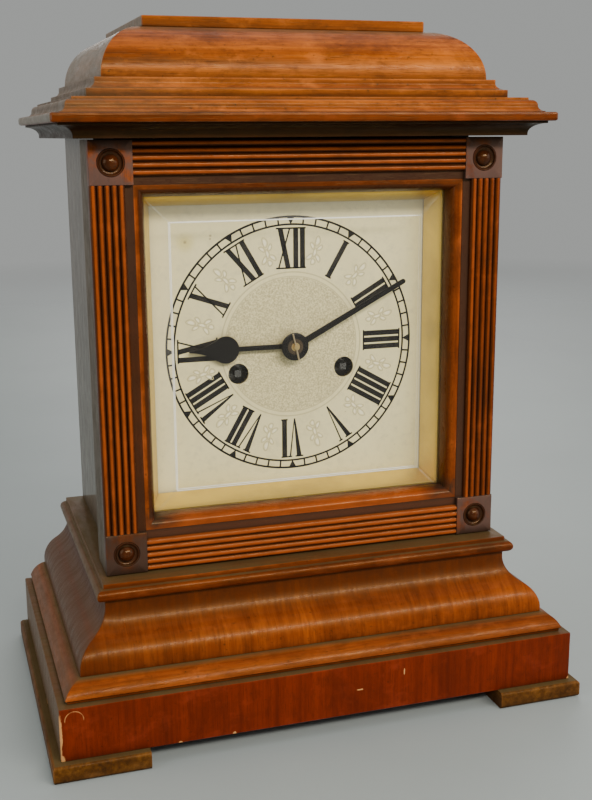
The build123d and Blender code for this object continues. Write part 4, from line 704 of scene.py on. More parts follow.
def sight_marks(nodes, smudge):
    """Painted shade in the hollow of three members of the sight moulding, a lower one lighter by painted light
    and wear, and dark soiling in its two corners.
    """
    x, _, z = nodes.place()
    out = nodes.most(abs(x) - SIGHT_HALF * MM, abs(z - Z_DIAL * MM) - SIGHT_HALF_HEIGHT * MM)
    face = SIGHT - SIGHT_FACE
    # Painted shade in the hollow, less on the lower member and on part of the right one; painted shade on the
    # top face
    hollow = nodes.within(out, face - 0.4, face + 0.4, 0.92, 0.0)
    right = nodes.within(x, 0.9 * SIGHT_HALF, SIGHT_HALF)
    lost = nodes.within(out, 0.25 * face, 0.75 * face, 0.25, 0.75) * right
    rest = Z_DIAL - SIGHT_HALF_HEIGHT
    hollow = hollow * (1.0 - lost) * nodes.within(z, rest - 1.0, rest + 1.0, 0.1, 1.0)
    head = Z_DIAL + SIGHT_HALF_HEIGHT
    shade = nodes.within(z, head - 1.0, head + 1.0, 0.0, 0.55)
    at = np.array([SIGHT_HALF, DOOR_FRONT + SIGHT, rest - 0.3 * SIGHT])
    corners = [nodes.spot(at * (side, 1, 1), (16.0, 14.0, 8.0)) for side in (-1, 1)]
    return [
        (nodes.most(hollow, shade), SIGHT_HOLLOW_SHADE), (lit_and_worn_rail(nodes, smudge, SIGHT_HALF_HEIGHT), WEAR_AND_PAINTED_LIGHT),
        (nodes.most(*corners) * nodes.span(smudge, 0.35, 0.6, 0.5, 0.95), SIGHT_DIRT),
    ]


def lit_and_worn_rail(nodes, smudge, half):
    """The share of painted light and wear below a half height under the dial's middle, on what stands proud of
    the grooves.
    """
    below = nodes.within(nodes.place()[2], Z_DIAL - half - 1.5, Z_DIAL - half, 0.5, 0.0)
    return below * nodes.span(nodes.open_sky(2.0), 0.55, 0.95) * nodes.span(smudge, 0.35, 0.65, 1.0, 0.65)


def block_marks(nodes, smudge):
    """Painted grey reflection in clouds on the corner blocks, painted shade round the boss, and old polish
    gone dark low on the left.
    """
    x, y, z = nodes.place()
    # Painted grey reflection in clouds, then painted shade round the boss
    grey_reflection = nodes.span(nodes.noise(nodes.join(x, y, z), 70.0, 4.0, 0.6), 0.40, 0.54, 0.0, 0.85)
    shut = nodes.span(nodes.open_sky(6.0), 0.50, 0.99, 0.9, 0.0)
    low = nodes.within(z, Z_DIAL - 20.0, Z_DIAL + 20.0, 0.7, 0.0) * nodes.within(x, -1.0, 1.0, 1.0, 0.3)
    return [(grey_reflection, BLOCK_GREY_REFLECTION), (shut, BLOCK_SHADE), (low, BLOCK_LOW)]


def metal(name, tones, gloss, scale=90.0):
    """Worn metal: a bright colour with tarnish in clouds and in corners, and fine scratches."""
    nodes = Nodes(name)
    whole = nodes.join(*nodes.place())
    cloud = nodes.noise(whole, scale, 5.0, 0.6)
    scratch = nodes.noise(whole, (300.0, 900.0, 2600.0), 3.0, 0.6)
    shut = nodes.span(nodes.open_sky(3.0), 0.3, 0.9, 1.0, 0.0)
    dull = nodes.most(nodes.span(cloud, 0.42, 0.72, 0.0, 0.55), shut)
    rough = nodes.span(dull, 0.0, 1.0, gloss, gloss + 0.25) + nodes.span(scratch, 0.4, 0.7, 0.0, 0.08)
    shade = nodes.mix(dull, *tones)
    return nodes.finish(scratch, 0.08, Base_Color=shade, Roughness=rough, Metallic=1.0)


def paint(name, colour, gloss=0.35, rub=0.5, bush=0.0):
    """Thin old paint: slight clouds, rubbed edges and a bronze bush on the hands' axis if asked for."""
    nodes = Nodes(name)
    x, y, z = nodes.place()
    cloud = nodes.noise(nodes.join(x, y, z), 120.0, 5.0, 0.6)
    rubbed = nodes.span(nodes.edges(0.5), 0.3, 0.6) * nodes.span(cloud, 0.5, 0.7, 0.0, rub)
    shade = nodes.mix(rubbed, nodes.mix(cloud, colour, scaled(colour, 1.8)), RUBBED_PAINT)
    if bush:
        radius = nodes.away(x, z - Z_DIAL * MM)
        shade = nodes.mix(nodes.within(radius, bush - 0.2, bush, 1.0, 0.0), shade, BRONZE_BUSH)
    rough = nodes.span(cloud, 0.3, 0.7, gloss - 0.08, gloss + 0.1)
    return nodes.finish(cloud, 0.05, Base_Color=shade, Roughness=rough, Specular_IOR_Level=0.18)


def dial_silver(name, tint=None, share=0.0):
    """Silvered dial with a warm varnish: clouds, specks, and a darker edge of painted shade where other parts
    come close.

    Without a tint it has the plate's matted middle and stains. A tint is mixed in by a share.
    """
    nodes = Nodes(name)
    x, y, z = nodes.place()
    whole = nodes.join(x, y, z)
    cloud = nodes.noise(whole, 34.0, 5.0, 0.6)
    fine = nodes.noise(whole, 260.0, 3.0, 0.6)
    colour = nodes.mix(nodes.span(cloud, 0.3, 0.7), SILVER, SILVER_CLOUD)
    colour = nodes.mix(nodes.span(fine, 0.5, 0.85, 0.0, 0.35), colour, SILVER_FINE)
    height = fine * 0.08
    if tint:
        colour = nodes.mix(share, colour, tint)
    else:
        middle = nodes.within(nodes.away(x, z - Z_DIAL * MM), MATT_RADIUS, MATT_RADIUS + 0.5, 1.0, 0.0)
        stipple = middle * nodes.span(nodes.noise(whole, 1250.0, 2.0, 0.5), 0.35, 0.65)
        height = stipple * 0.9 + height
        colour = nodes.mix(stipple * 0.8, colour, SILVER_PIT)
        colour = nodes.mix(middle * 0.1, colour, SILVER_MATT)
        for (across, above), size, shade in DIAL_STAINS:
            stain = nodes.spot((across, DIAL_FRONT, Z_DIAL + above), (size, 3.0, size))
            colour = nodes.mix(stain * 0.6, colour, shade)
    specks = nodes.span(nodes.noise(whole, 420.0, 1.0, 0.4), 0.76, 0.82)
    colour = nodes.mix(specks * 0.6, colour, SILVER_SPECK)
    # Painted shade where other parts come close
    colour = nodes.mix(nodes.span(nodes.open_sky(6.0), 0.3, 0.95, 0.55, 0.0), colour, SILVER_SHADE)
    rough = nodes.span(fine, 0.3, 0.7, 0.38, 0.52)
    return nodes.finish(height, 0.35, Base_Color=colour, Roughness=rough, Metallic=0.12)


def pane(name):
    """Clear glass: nearly open in the middle, a faint painted sheen on the bevels, painted highlight lines
    where they meet.
    """
    nodes = Nodes(name)
    x, _, z = nodes.place()
    flat = SIGHT_HALF - GLASS_BEVEL
    beside = abs(x) - flat * MM
    above = abs(z - (Z_DIAL - BEVEL_DROP) * MM) - (SIGHT_HALF_HEIGHT - GLASS_BEVEL + BEVEL_DROP) * MM
    out = nodes.most(beside, above)
    # Painted sheen on the bevels and painted highlight lines, by opacity of a pale colour
    bevel = nodes.within(out, 0.0, 0.4, 0.0, 0.03)
    line = (1.0 - nodes.within(abs(out), 0.14, 0.34)) * nodes.within(x, 0.9 * flat, flat, 0.8, 0.15)
    mitre = nodes.within(abs(beside - above), 0.15, 0.45, 4.0, 0.0) * bevel
    alpha = nodes.most(nodes.most(bevel, line), mitre) + 0.008
    return nodes.finish(Base_Color=GLASS_AND_HIGHLIGHT, Roughness=0.03, IOR=1.5, Alpha=alpha)


def plain_floor(name, colour):
    """Pale painted ground with faint clouds, open towards its edge."""
    nodes = Nodes(name)
    x, y, z = nodes.place()
    cloud = nodes.noise(nodes.join(x, y, z), 5.0, 4.0, 0.55)
    shade = nodes.mix(nodes.span(cloud, 0.3, 0.7), colour, scaled(colour, 0.93))
    alpha = nodes.span(nodes.away(x, y), 0.25 * GROUND_EDGE, 0.95 * GROUND_EDGE, 1.0, 0.0)
    return nodes.finish(cloud, 0.02, Base_Color=shade, Roughness=0.55, Alpha=alpha)


# Settings
class ClockWood(bpy.types.PropertyGroup):
    """Age of the wood."""

    wear: bpy.props.FloatProperty(
        name="Wear", description="How much the polish is rubbed off the edges", default=1.0, min=0.0, max=2.0,
        subtype="FACTOR",
    )
    # Sets the soiling together with the painted shade in corners and crevices
    dirt_and_shade_share: bpy.props.FloatProperty(
        name="Grime", description="How dark the corners are", default=1.0, min=0.0, max=1.4, subtype="FACTOR",
    )
    ease: bpy.props.FloatProperty(
        name="Edge rounding", description="Rounding of the wooden edges", default=0.0005, min=0.0001,
        max=0.002, unit="LENGTH", subtype="DISTANCE",
    )


class ClockDial(bpy.types.PropertyGroup):
    """Drawing of the dial."""

    track: bpy.props.FloatProperty(
        name="Minute track", description="Radius of the outer line of the minute track", default=0.066,
        unit="LENGTH", subtype="DISTANCE",
    )
    track_width: bpy.props.FloatProperty(
        name="Track width", description="Distance between the two lines of the minute track", default=0.0039,
        unit="LENGTH", subtype="DISTANCE",
    )
    numeral_outer: bpy.props.FloatProperty(
        name="Numeral top", description="Radius at the top of the numerals", default=0.0605, unit="LENGTH",
        subtype="DISTANCE",
    )
    numeral_inner: bpy.props.FloatProperty(
        name="Numeral foot", description="Radius at the foot of the numerals", default=0.0395, unit="LENGTH",
        subtype="DISTANCE",
    )
    stroke: bpy.props.FloatProperty(
        name="Stroke", description="Width of a thick stroke", default=0.0027, unit="LENGTH",
        subtype="DISTANCE",
    )
    ink: bpy.props.FloatVectorProperty(
        name="Ink", description="Colour of the track and the numerals", default=(0.004, 0.0035, 0.003),
        min=0.0, max=1.0, subtype="COLOR",
    )


class ClockStage(bpy.types.PropertyGroup):
    """Light and ground."""

    key: bpy.props.FloatProperty(
        name="Key light", description="Power of the main light", default=28.5, unit="POWER",
    )
    fill: bpy.props.FloatProperty(
        name="Fill light", description="Power of the side light", default=5.0, unit="POWER",
    )
    left: bpy.props.FloatProperty(
        name="Left light", description="Power of the light from the left", default=9.0, unit="POWER",
    )
    rear: bpy.props.FloatProperty(
        name="Rear light", description="Power of the light behind the clock", default=9.0, unit="POWER",
    )
    top: bpy.props.FloatProperty(
        name="Top light", description="Power of the overhead light", default=6.0, unit="POWER",
    )
    sky: bpy.props.FloatProperty(
        name="Sky", description="Strength of the even light all round", default=0.42, min=0.0, max=2.0,
    )
    ground: bpy.props.FloatVectorProperty(
        name="Ground", description="Colour of the ground", default=(0.31, 0.345, 0.345), min=0.0, max=1.0,
        subtype="COLOR",
    )


# Pieces
def extent(node):
    """The half width of a CAD node and the heights of its foot and its head."""
    return HIGH[node][0], LOW[node][2], HIGH[node][2]


def instead(node, body, shells, material, angle=30.0):
    """One fine piece that is shown in place of a CAD node."""
    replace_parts(piece(node + "_fine", body, shells, material, angle), node)


def moulding(node, outline, material, corner, radius, turn):
    """A moulding on three sides of the case, its edges eased by a radius, and a plain rail at its back."""
    inner, z0 = outline[0]
    rail = oblong(-inner, inner, z0, outline[-1][1])
    shells = [surround(eased(outline, radius), corner, turn), *prism_shells(rail[None], BACK - BOARD, BACK)]
    instead(node, "case", shells, material)


class CLOCK_OT_base(bpy.types.Operator):
    """Foot runners, plinth, ovolo, ogee and cap board."""

    bl_idname = "clock.base"
    bl_label = "Base of the Case"

    def execute(self, context):
        ease = context.scene.clock_wood.ease / MM
        half, z0, z1 = extent("plinth_boards")
        skin = wood("plinth_wood", "veneer", RED, BASE_CORNER, 0.34, 0.85, 0.6, 0.8, plinth_marks, side=0.85)
        moulding("plinth_boards", oblong(half - BOARD, half, z0, z1), skin, BASE_CORNER, ease, ease)

        half, z0, z1 = extent("plinth_ovolo")
        shoulder = z0 + OVOLO_FILLET
        foot = half - OVOLO_SET_IN
        inner = half - STRIP_DEPTH
        curve = swell((half, shoulder), (half - OVOLO_REACH, z1), OVOLO_SWELL)
        outline = np.concatenate([[(inner, z0), (foot, z0), (foot, shoulder)], curve, [(inner, z1)]])
        ovolo = wood("ovolo_wood", "round", RUST, BASE_CORNER, 0.32, 0.8, 0.5, side=0.55)
        moulding("plinth_ovolo", outline, ovolo, BASE_CORNER, ease, ease)

        foot, z0, z1 = extent("base_ogee")
        start = z0 + OGEE_FILLET
        neck = z1 - OGEE_NECK
        turn = 2 * math.atan(OGEE_REACH / (neck - start))
        radius = (neck - start) / math.sin(turn) / 2
        head = foot - OGEE_REACH
        inner = head - STRIP_DEPTH / 2
        low = arc((foot - radius, start), radius, 0, math.degrees(turn), 14)
        high = arc((head + radius, neck), radius, 180 + math.degrees(turn), 180, 14)
        outline = np.concatenate([[(inner, z0), (foot, z0)], low, high[1:], [(head, z1), (inner, z1)]])
        ogee = wood("ogee_wood", "veneer", RUST, BASE_CORNER, 0.30, 0.75, 0.4, 0.6, ogee_marks, side=0.85)
        moulding("base_ogee", outline, ogee, BASE_CORNER, ease, ease)

        half, z0, z1 = extent("base_cap")
        top = z1 - CAP_STEP
        radius = (top - z0) / 2
        step = half - CAP_STEP_SET_IN
        inner = half - STRIP_DEPTH
        nose = arc((half - radius, z0 + radius), radius, -90, 90, 14)
        outline = np.concatenate([[(inner, z0)], nose, [(step, top), (step, z1), (inner, z1)]])
        core = oblong(-inner, inner, z0, z1)
        shells = [surround(eased(outline, ease), BASE_CORNER, ease)]
        shells += prism_shells(core[None], BASE_CORNER - inner, BACK)
        cap = wood("cap_wood", "round", SHELF, BASE_CORNER, 0.30, 0.8, 0.6, side=0.8)
        instead("base_cap", "case", shells, cap)

        finish_node("foot_runners", wood("foot_wood", "y", DULL, 0.0, 0.48, 0.7, 0.7), 0.8)
        return {"FINISHED"}


class CLOCK_OT_case(bpy.types.Operator):
    """Side boards, back frame, back door and the boards inside."""

    bl_idname = "clock.case"
    bl_label = "Case Boards"

    def execute(self, context):
        # The case sides are painted grey-brown: painted shade and painted reflection
        side = wood("side_wood", "z", SIDE_SHADE_AND_REFLECTION, 0.0, 0.40, 0.5, 0.4, coat=0.5)
        for name in ("case_side_left", "case_side_right"):
            finish_node(name, side, 0.4)
        raw = wood("inner_wood", "z", RAW, 0.0, 0.55, 0.6, 0.2)
        for name in ("back_frame", "dial_board", "back_door"):
            finish_node(name, raw, 0.3)
        finish_node("seat_board", wood("seat_wood", "x", RAW, 0.0, 0.55, 0.6, 0.2), 0.3)
        return {"FINISHED"}


class CLOCK_OT_cornice(bpy.types.Operator):
    """Bed moulding, cornice board, cymatium, upper moulding, dome and top slab."""

    bl_idname = "clock.cornice"
    bl_label = "Cornice and Dome"

    def execute(self, context):
        ease = context.scene.clock_wood.ease / MM
        # Painted grey reflection on the faces turned left or right
        grey_side_reflection = {"side": 0.75, "stain": SIDE_REFLECTION_GREY}
        wide, z0, z1 = extent("bed_moulding")
        inner = HIGH["case_side_right"][0]
        cove = arc((wide, z0 + BED_FILLET), (BED_COVE, z1 - z0 - 2 * BED_FILLET), 180, 90, 10)
        outline = np.concatenate([[(inner, z0), (wide - BED_COVE, z0)], cove, [(wide, z1), (inner, z1)]])
        bed = wood("bed_wood", "round", DARK, CORNICE_CORNER, 0.34, 0.9, 0.2)
        shells = [surround(eased(outline, 0.3), CORNICE_CORNER, 0.3)]
        instead("bed_moulding", "case", shells, bed)

        board = wood("cornice_wood", "round", SHELF, CORNICE_CORNER, 0.30, 0.6, 0.8, **grey_side_reflection)
        finish_node("cornice_board", board, 1.1)

        foot, z0, z1 = extent("cornice_cymatium")
        waist = (foot - CYMA_COVE, z0 + CYMA_LEDGE + CYMA_COVE)
        head = (waist[0] - CYMA_OVOLO, waist[1] + CYMA_OVOLO)
        set_in = head[0] - CYMA_SET_IN
        inner = set_in - STRIP_DEPTH
        cove = arc((foot, waist[1]), CYMA_COVE, 270, 180, 10)
        ovolo = arc((head[0], waist[1]), CYMA_OVOLO, 0, 90, 8)
        tail = [(set_in, head[1]), (set_in, z1), (inner, z1)]
        outline = np.concatenate([[(inner, z0), (foot, z0)], cove, ovolo[1:], tail])
        cyma = wood("cyma_wood", "round", WARM, CORNICE_CORNER, 0.32, 0.9, 0.9, 1.0, cyma_marks, **grey_side_reflection)
        moulding("cornice_cymatium", outline, cyma, CORNICE_CORNER, 0.3, ease)

        band, z0, z1 = extent("upper_moulding")
        inner = band - STRIP_DEPTH
        cove = arc((band, z0 + UPPER_BAND + UPPER_COVE), (UPPER_SET_IN, UPPER_COVE), 270, 180)
        outline = np.concatenate([[(inner, z0), (band, z0)], cove, [(band - UPPER_SET_IN, z1), (inner, z1)]])
        moulding("upper_moulding", outline, cyma, CORNICE_CORNER, 0.35, ease)

        outer, z0, z1 = extent("dome")
        radius = z1 - z0
        inner = outer - radius - STRIP_DEPTH / 2
        curve = arc((outer - radius, z0), radius, 0, 90, 28)
        outline = np.concatenate([[(inner, z0)], curve, [(inner, z1)]])
        dome = wood("dome_wood", "round", WARM, CORNICE_CORNER, 0.30, 0.8, 0.7, 0.8, **grey_side_reflection)
        moulding("dome", outline, dome, CORNICE_CORNER, 0.3, ease)
        finish_node("top_slab", wood("slab_wood", "x", WARM, 0.0, 0.34, 0.6, 0.7, **grey_side_reflection), 0.6)
        return {"FINISHED"}


class CLOCK_OT_door(bpy.types.Operator):
    """Door frame, reeded strips, corner blocks, bosses and sight moulding."""

    bl_idname = "clock.door"
    bl_label = "Door"

    def execute(self, context):
        ease = context.scene.clock_wood.ease / MM
        # The door frame's sides carry the same painted shade and painted reflection as the case sides
        finish_node("door_frame", wood("frame_wood", "frame", SIDE_SHADE_AND_REFLECTION, 0.0, 0.40, 0.5, 0.4, coat=0.0), 0.4)
        reeded = wood("reed_wood", "frame", DEEP, 0.0, 0.22, 0.85, 0.6, 0.3, reed_marks, 0.06)
        instead("reeded_strips", "front_door", reeded_shells(), reeded, angle=50.0)
        blocks = []
        bosses = []
        for side in (-1, 1):
            for level in (-1, 1):
                centre = (side * (DOOR_HALF - BLOCK / 2), Z_DIAL + level * (DOOR_HALF_HEIGHT - BLOCK / 2))
                blocks.append(block_shell(centre, ease))
                bosses.append(lathe(boss_profile(), centre))
        grey = wood("block_wood", "z", RUST, 0.0, 0.30, 0.8, 0.7, 1.0, block_marks)
        instead("corner_blocks", "front_door", blocks, grey)
        turned = wood("boss_wood", "z", TURNED, 0.0, 0.16, 1.1, 0.3, coat=0.12)
        instead("corner_bosses", "front_door", bosses, turned, angle=45.0)

        face = DOOR_FRONT + SIGHT_SINK
        back = HIGH["sight_moulding"][1]
        lip = back - SIGHT_LIP
        cove = arc((SIGHT - SIGHT_FACE, lip), (SIGHT - SIGHT_FACE, face - lip), 180, 90, 12)
        outline = np.concatenate([[(0.0, back)], cove, [(SIGHT, face), (SIGHT, back)]])
        sight = wood("sight_wood", "mitre", RUST, 0.0, 0.24, 0.9, 0.9, 1.0, sight_marks, 0.1, dust=0.0)
        shells = [window(eased(outline, 0.25), SIGHT_HALF, SIGHT_HALF_HEIGHT)]
        instead("sight_moulding", "front_door", shells, sight)
        return {"FINISHED"}


def reeded_shells():
    """Four strips with the reeds' section: half round reeds side by side, then a flat fillet.

    A reed is an arc of the circle through its two edges and its crest. The section runs along the stiles in z
    and along the rails in x, between the corner blocks.
    """
    half = REED_PITCH / 2
    radius = (half**2 + REED_HEIGHT**2) / (2 * REED_HEIGHT)
    open_angle = math.degrees(math.asin(half / radius))
    groove = DOOR_FRONT + REED_HEIGHT
    one = arc((half, DOOR_FRONT + radius), radius, 270 - open_angle, 270 + open_angle, 10)
    shifts = np.arange(REEDS)[:, None, None] * np.array([REED_PITCH, 0.0])
    reeds = (one[None] + shifts)[:, :-1].reshape(-1, 2)
    flat = DOOR_FRONT + FILLET_SINK
    end = REEDS * REED_PITCH
    tail = [(end, groove), (end, flat), (BLOCK, flat), (BLOCK, FRAME_FRONT), (0.0, FRAME_FRONT)]
    q, y = np.concatenate([reeds, tail]).T
    tall = np.linspace(-1, 1, 41)[:, None] * (DOOR_HALF_HEIGHT - BLOCK)
    wide = np.linspace(-1, 1, 41)[:, None] * (DOOR_HALF - BLOCK)
    shells = []
    for side in (-1, 1):
        x = side * (DOOR_HALF - q) + 0 * tall
        shells.append(tube_shell(np.stack([x, y + 0 * x, Z_DIAL + tall + 0 * x], -1)))
        z = Z_DIAL + side * (DOOR_HALF_HEIGHT - q) + 0 * wide
        shells.append(tube_shell(np.stack([wide + 0 * z, y + 0 * z, z], -1)))
    return shells


def block_shell(centre, ease):
    """A square block with a round sunk bed for its boss.

    Rings at one angle t each: the bed's floor and wall at the boss radius, then the square at half the
    block's width over the larger of |cos t| and |sin t|, eased at the front edge, then its sides and back.
    """
    angle = np.linspace(0, 2 * math.pi, 96, endpoint=False)[:, None]
    square = (BLOCK / 2) / np.maximum(np.abs(np.cos(angle)), np.abs(np.sin(angle)))
    share = np.array([0.0, 0.0, 0.0, 0.0, 1.0, 1.0, 1.0, 1.0, 1.0, 0.0])
    bed = BOSS_RADIUS + 0.05
    flat = np.array([0.3, bed, bed, bed + 0.3, -ease, -0.3 * ease, 0.0, 0.0, 0.0, 0.3])
    floor = BLOCK_FRONT + BOSS_SINK
    y = np.array([
        floor, floor, BLOCK_FRONT + 0.3, BLOCK_FRONT, BLOCK_FRONT, BLOCK_FRONT + 0.3 * ease,
        BLOCK_FRONT + ease, (BLOCK_FRONT + FRAME_FRONT) / 2, FRAME_FRONT, FRAME_FRONT,
    ])
    r = (square * share + flat).T[..., None]
    turn = angle[None]
    x = centre[0] + r * np.cos(turn)
    z = centre[1] + r * np.sin(turn)
    return tube_shell(np.concatenate([x, y[:, None, None] + 0 * x, z], -1))


def boss_profile():
    """The boss from its back to its crest: a narrow rim, a hollow and a domed button."""
    dish = BLOCK_FRONT + BOSS_DISH
    sunk = BLOCK_FRONT + BOSS_SINK
    hollow = arc((BUTTON_RADIUS, BLOCK_FRONT), (BOSS_RADIUS - BOSS_RIM - BUTTON_RADIUS, BOSS_DISH), 0, 90, 8)
    sphere = (BUTTON_RADIUS**2 + BUTTON_HEIGHT**2) / (2 * BUTTON_HEIGHT)
    middle = dish - BUTTON_HEIGHT + sphere
    edge = math.degrees(math.asin(BUTTON_RADIUS / sphere))
    dome = arc((0.0, middle), sphere, edge - 90, -89.0, 12)
    front = [(BOSS_RADIUS, BLOCK_FRONT + 0.15), (BOSS_RADIUS - 0.15, BLOCK_FRONT)]
    return np.concatenate([[(0.2, sunk), (BOSS_RADIUS, sunk)], front, hollow, dome])


class CLOCK_OT_glass(bpy.types.Operator):
    """Bevelled pane and the gilt slip behind it."""

    bl_idname = "clock.glass"
    bl_label = "Glass and Slip"

    def execute(self, context):
        finish_node("door_glass", pane("door_pane"))
        front = LOW["gilt_slip"][1]
        back = HIGH["gilt_slip"][1]
        outer = HIGH["gilt_slip"][0] - SIGHT_HALF
        step = [(-SLIP_STEP, back), (-SLIP_STEP, back - 0.25)]
        outline = np.array([(0.0, front), (outer, front), (outer, back), *step])
        gilt = metal("gilt_brass", GILT, 0.34, 60.0)
        shells = [window(outline, SIGHT_HALF, SIGHT_HALF_HEIGHT)]
        instead("gilt_slip", "front_door", shells, gilt)
        return {"FINISHED"}


class CLOCK_OT_dial(bpy.types.Operator):
    """Dial plate, minute track, numerals, rings and scroll ornaments."""

    bl_idname = "clock.dial"
    bl_label = "Dial"

    def execute(self, context):
        settings = context.scene.clock_dial
        finish_node("dial_plate", dial_silver("dial_plate_silver"))
        ink = paint("dial_ink", tuple(settings.ink), 0.5, 0.12)
        span = (DIAL_FRONT - 0.05, DIAL_FRONT + 0.02)
        outer = settings.track / MM
        inner = outer - settings.track_width / MM
        lines = ((outer, 0.52), (inner, 0.48))
        shells = [ring_shell(radius - half, radius + half, *span) for radius, half in lines]
        minutes = np.arange(60)[:, None]
        u = np.array([-1.0, 1.0, 1.0, -1.0]) * np.where(minutes % 5 == 0, 0.05, 0.44)
        v = np.array([inner, inner, outer, outer]) + 0 * u
        shells += prism_shells(np.stack(on_dial(u, v, minutes / 5), -1), *span)
        hours = np.arange(12)[:, None]
        wedge = np.array([-0.2, 0.2, 2.1, -2.1]) + 0 * hours
        depth = np.array([inner + 0.3, inner + 0.3, outer, outer]) + 0 * hours
        shells += prism_shells(np.stack(on_dial(wedge, depth, hours), -1), *span)
        piece("dial_minute_track", "case", shells, ink)
        shells = []
        for hour, word in enumerate(NUMERALS):
            u, v = np.moveaxis(numeral(word, settings), -1, 0)
            shells += prism_shells(np.stack(on_dial(u, v, hour), -1), *span)
        piece("dial_numerals", "case", shells, ink)
        front = DIAL_FRONT - 0.1
        wires = [ring_shell(*OUTER_RING, front, span[1])]
        wires += [ring_shell(*INNER_RING, front, span[1], *turn) for turn in RING_SPANS]
        leaves = []
        for hour in range(12):
            hour_wires, hour_leaves = ornament(hour + 0.5)
            wires += hour_wires
            leaves += hour_leaves
        relief = dial_silver("dial_relief_silver", SILVER_RELIEF, 0.55)
        piece("dial_ornaments", "case", wires, relief)
        bright = dial_silver("dial_leaf_silver", SILVER_LEAF, 0.75)
        piece("dial_leaves", "case", leaves, bright)
        return {"FINISHED"}


def numeral(word, settings):
    """The strokes of one numeral as four-cornered outlines of (u, v), u centred on the numeral.

    I is one thick upright. V is a thick stroke from its left top to its foot and a thin one up to the right.
    X is a thick stroke from its left top to its right foot, crossed by a thin one. Thin bars close the ends.
    """
    low = settings.numeral_inner / MM
    high = settings.numeral_outer / MM
    thick = settings.stroke / MM
    start = -sum(NUMERAL_WIDTHS[letter] for letter in word) / 2
    strokes = []
    for letter in word:
        wide = NUMERAL_WIDTHS[letter]
        end = start + wide
        left = start + 0.9
        right = end - 0.9
        bars = [oblong(start, end, low, low + HAIRLINE), oblong(start, end, high - HAIRLINE, high)]
        if letter == "I":
            edge = start + (wide - thick) / 2
            strokes += [oblong(edge, edge + thick, low, high), *bars]
        elif letter == "V":
            foot = start + 0.56 * wide
            strokes += [
                [(foot - 0.35, low), (foot + 0.35, low), (left + thick, high), (left, high)],
                [(foot - 0.1, low), (foot + 0.35, low), (right, high), (right - HAIRLINE, high)],
                oblong(left - 0.8, left + thick + 0.8, high - HAIRLINE, high),
                oblong(right - 1.4, right + 0.8, high - HAIRLINE, high),
            ]
        else:
            strokes += [
                [(right - thick, low), (right, low), (left + thick, high), (left, high)],
                [(left, low), (left + HAIRLINE, low), (right, high), (right - HAIRLINE, high)], *bars,
            ]
        start = end
    return np.array(strokes)


def ornament(hours):
    """A small raised scroll of curled leaves and a bud: closed wires, and the raised leaves inside them.

    A leaf is the loop (a cos t, b sin t) with its end drawn in by (1 + 0.35 cos t), turned and moved to its
    place. The wire's section is a low half round that stands on the dial. The leaf inside is the same loop, a
    little smaller.
    """
    t = np.linspace(0, 2 * math.pi, 28, endpoint=False)
    across, rise = np.array([(-0.26, 0.02), (-0.17, -0.09), (0.0, -0.13), (0.17, -0.09), (0.26, 0.02)]).T
    wires = []
    fills = []
    for u0, v0, a, b, turn in LEAVES:
        cos = math.cos(math.radians(turn))
        sin = math.sin(math.radians(turn))
        u = a * np.cos(t) * (1 + 0.35 * np.cos(t))
        v = b * np.sin(t)
        along_u = np.gradient(u)
        along_v = np.gradient(v)
        length = np.hypot(along_u, along_v)
        ring_u = u[:, None] + (along_v / length)[:, None] * across
        ring_v = v[:, None] - (along_u / length)[:, None] * across
        x, z = on_dial(u0 + ring_u * cos - ring_v * sin, v0 + ring_u * sin + ring_v * cos, hours)
        wires.append(loop_shell(np.stack([x, DIAL_FRONT + rise + 0 * x, z], -1)))
        inside_u = LEAF_FILL * (u * cos - v * sin)
        inside_v = LEAF_FILL * (u * sin + v * cos)
        x, z = on_dial(u0 + inside_u, v0 + inside_v, hours)
        fills += prism_shells(np.stack([x, z], -1)[None], DIAL_FRONT - 0.08, DIAL_FRONT + 0.02)
    return wires, fills


class CLOCK_OT_hands(bpy.types.Operator):
    """Hour hand, minute hand and their pin."""

    bl_idname = "clock.hands"
    bl_label = "Hands"

    def execute(self, context):
        finish_node("hour_hand", paint("hour_hand_paint", HAND_BLACK, 0.36), 0.15)
        finish_node("minute_hand", paint("minute_hand_paint", HAND_BLACK, 0.36, 0.5, 4.2), 0.15)
        finish_node("hand_pin", metal("pin_brass", PIN_BRASS, 0.3))
        return {"FINISHED"}


class CLOCK_OT_movement(bpy.types.Operator):
    """Plates, wheels, arbors, barrels, pendulum, gong and hinges."""

    bl_idname = "clock.movement"
    bl_label = "Movement"

    def execute(self, context):
        finishes = {
            "brass": metal("movement_brass", BRASS, 0.26),
            "steel": metal("movement_steel", STEEL, 0.24),
            "iron": paint("gong_iron", IRON, 0.5),
        }
        for part in frame["record"]["subparts"]:
            finish = finishes.get(part["material_slot"])
            if finish and part["node"] != "hand_pin":
                finish_node(part["node"], finish)
        dim = metal("winding_steel", DIM_STEEL, 0.2)
        for name in ("going_winding_arbor", "strike_winding_arbor"):
            finish_node(name, dim)
        return {"FINISHED"}


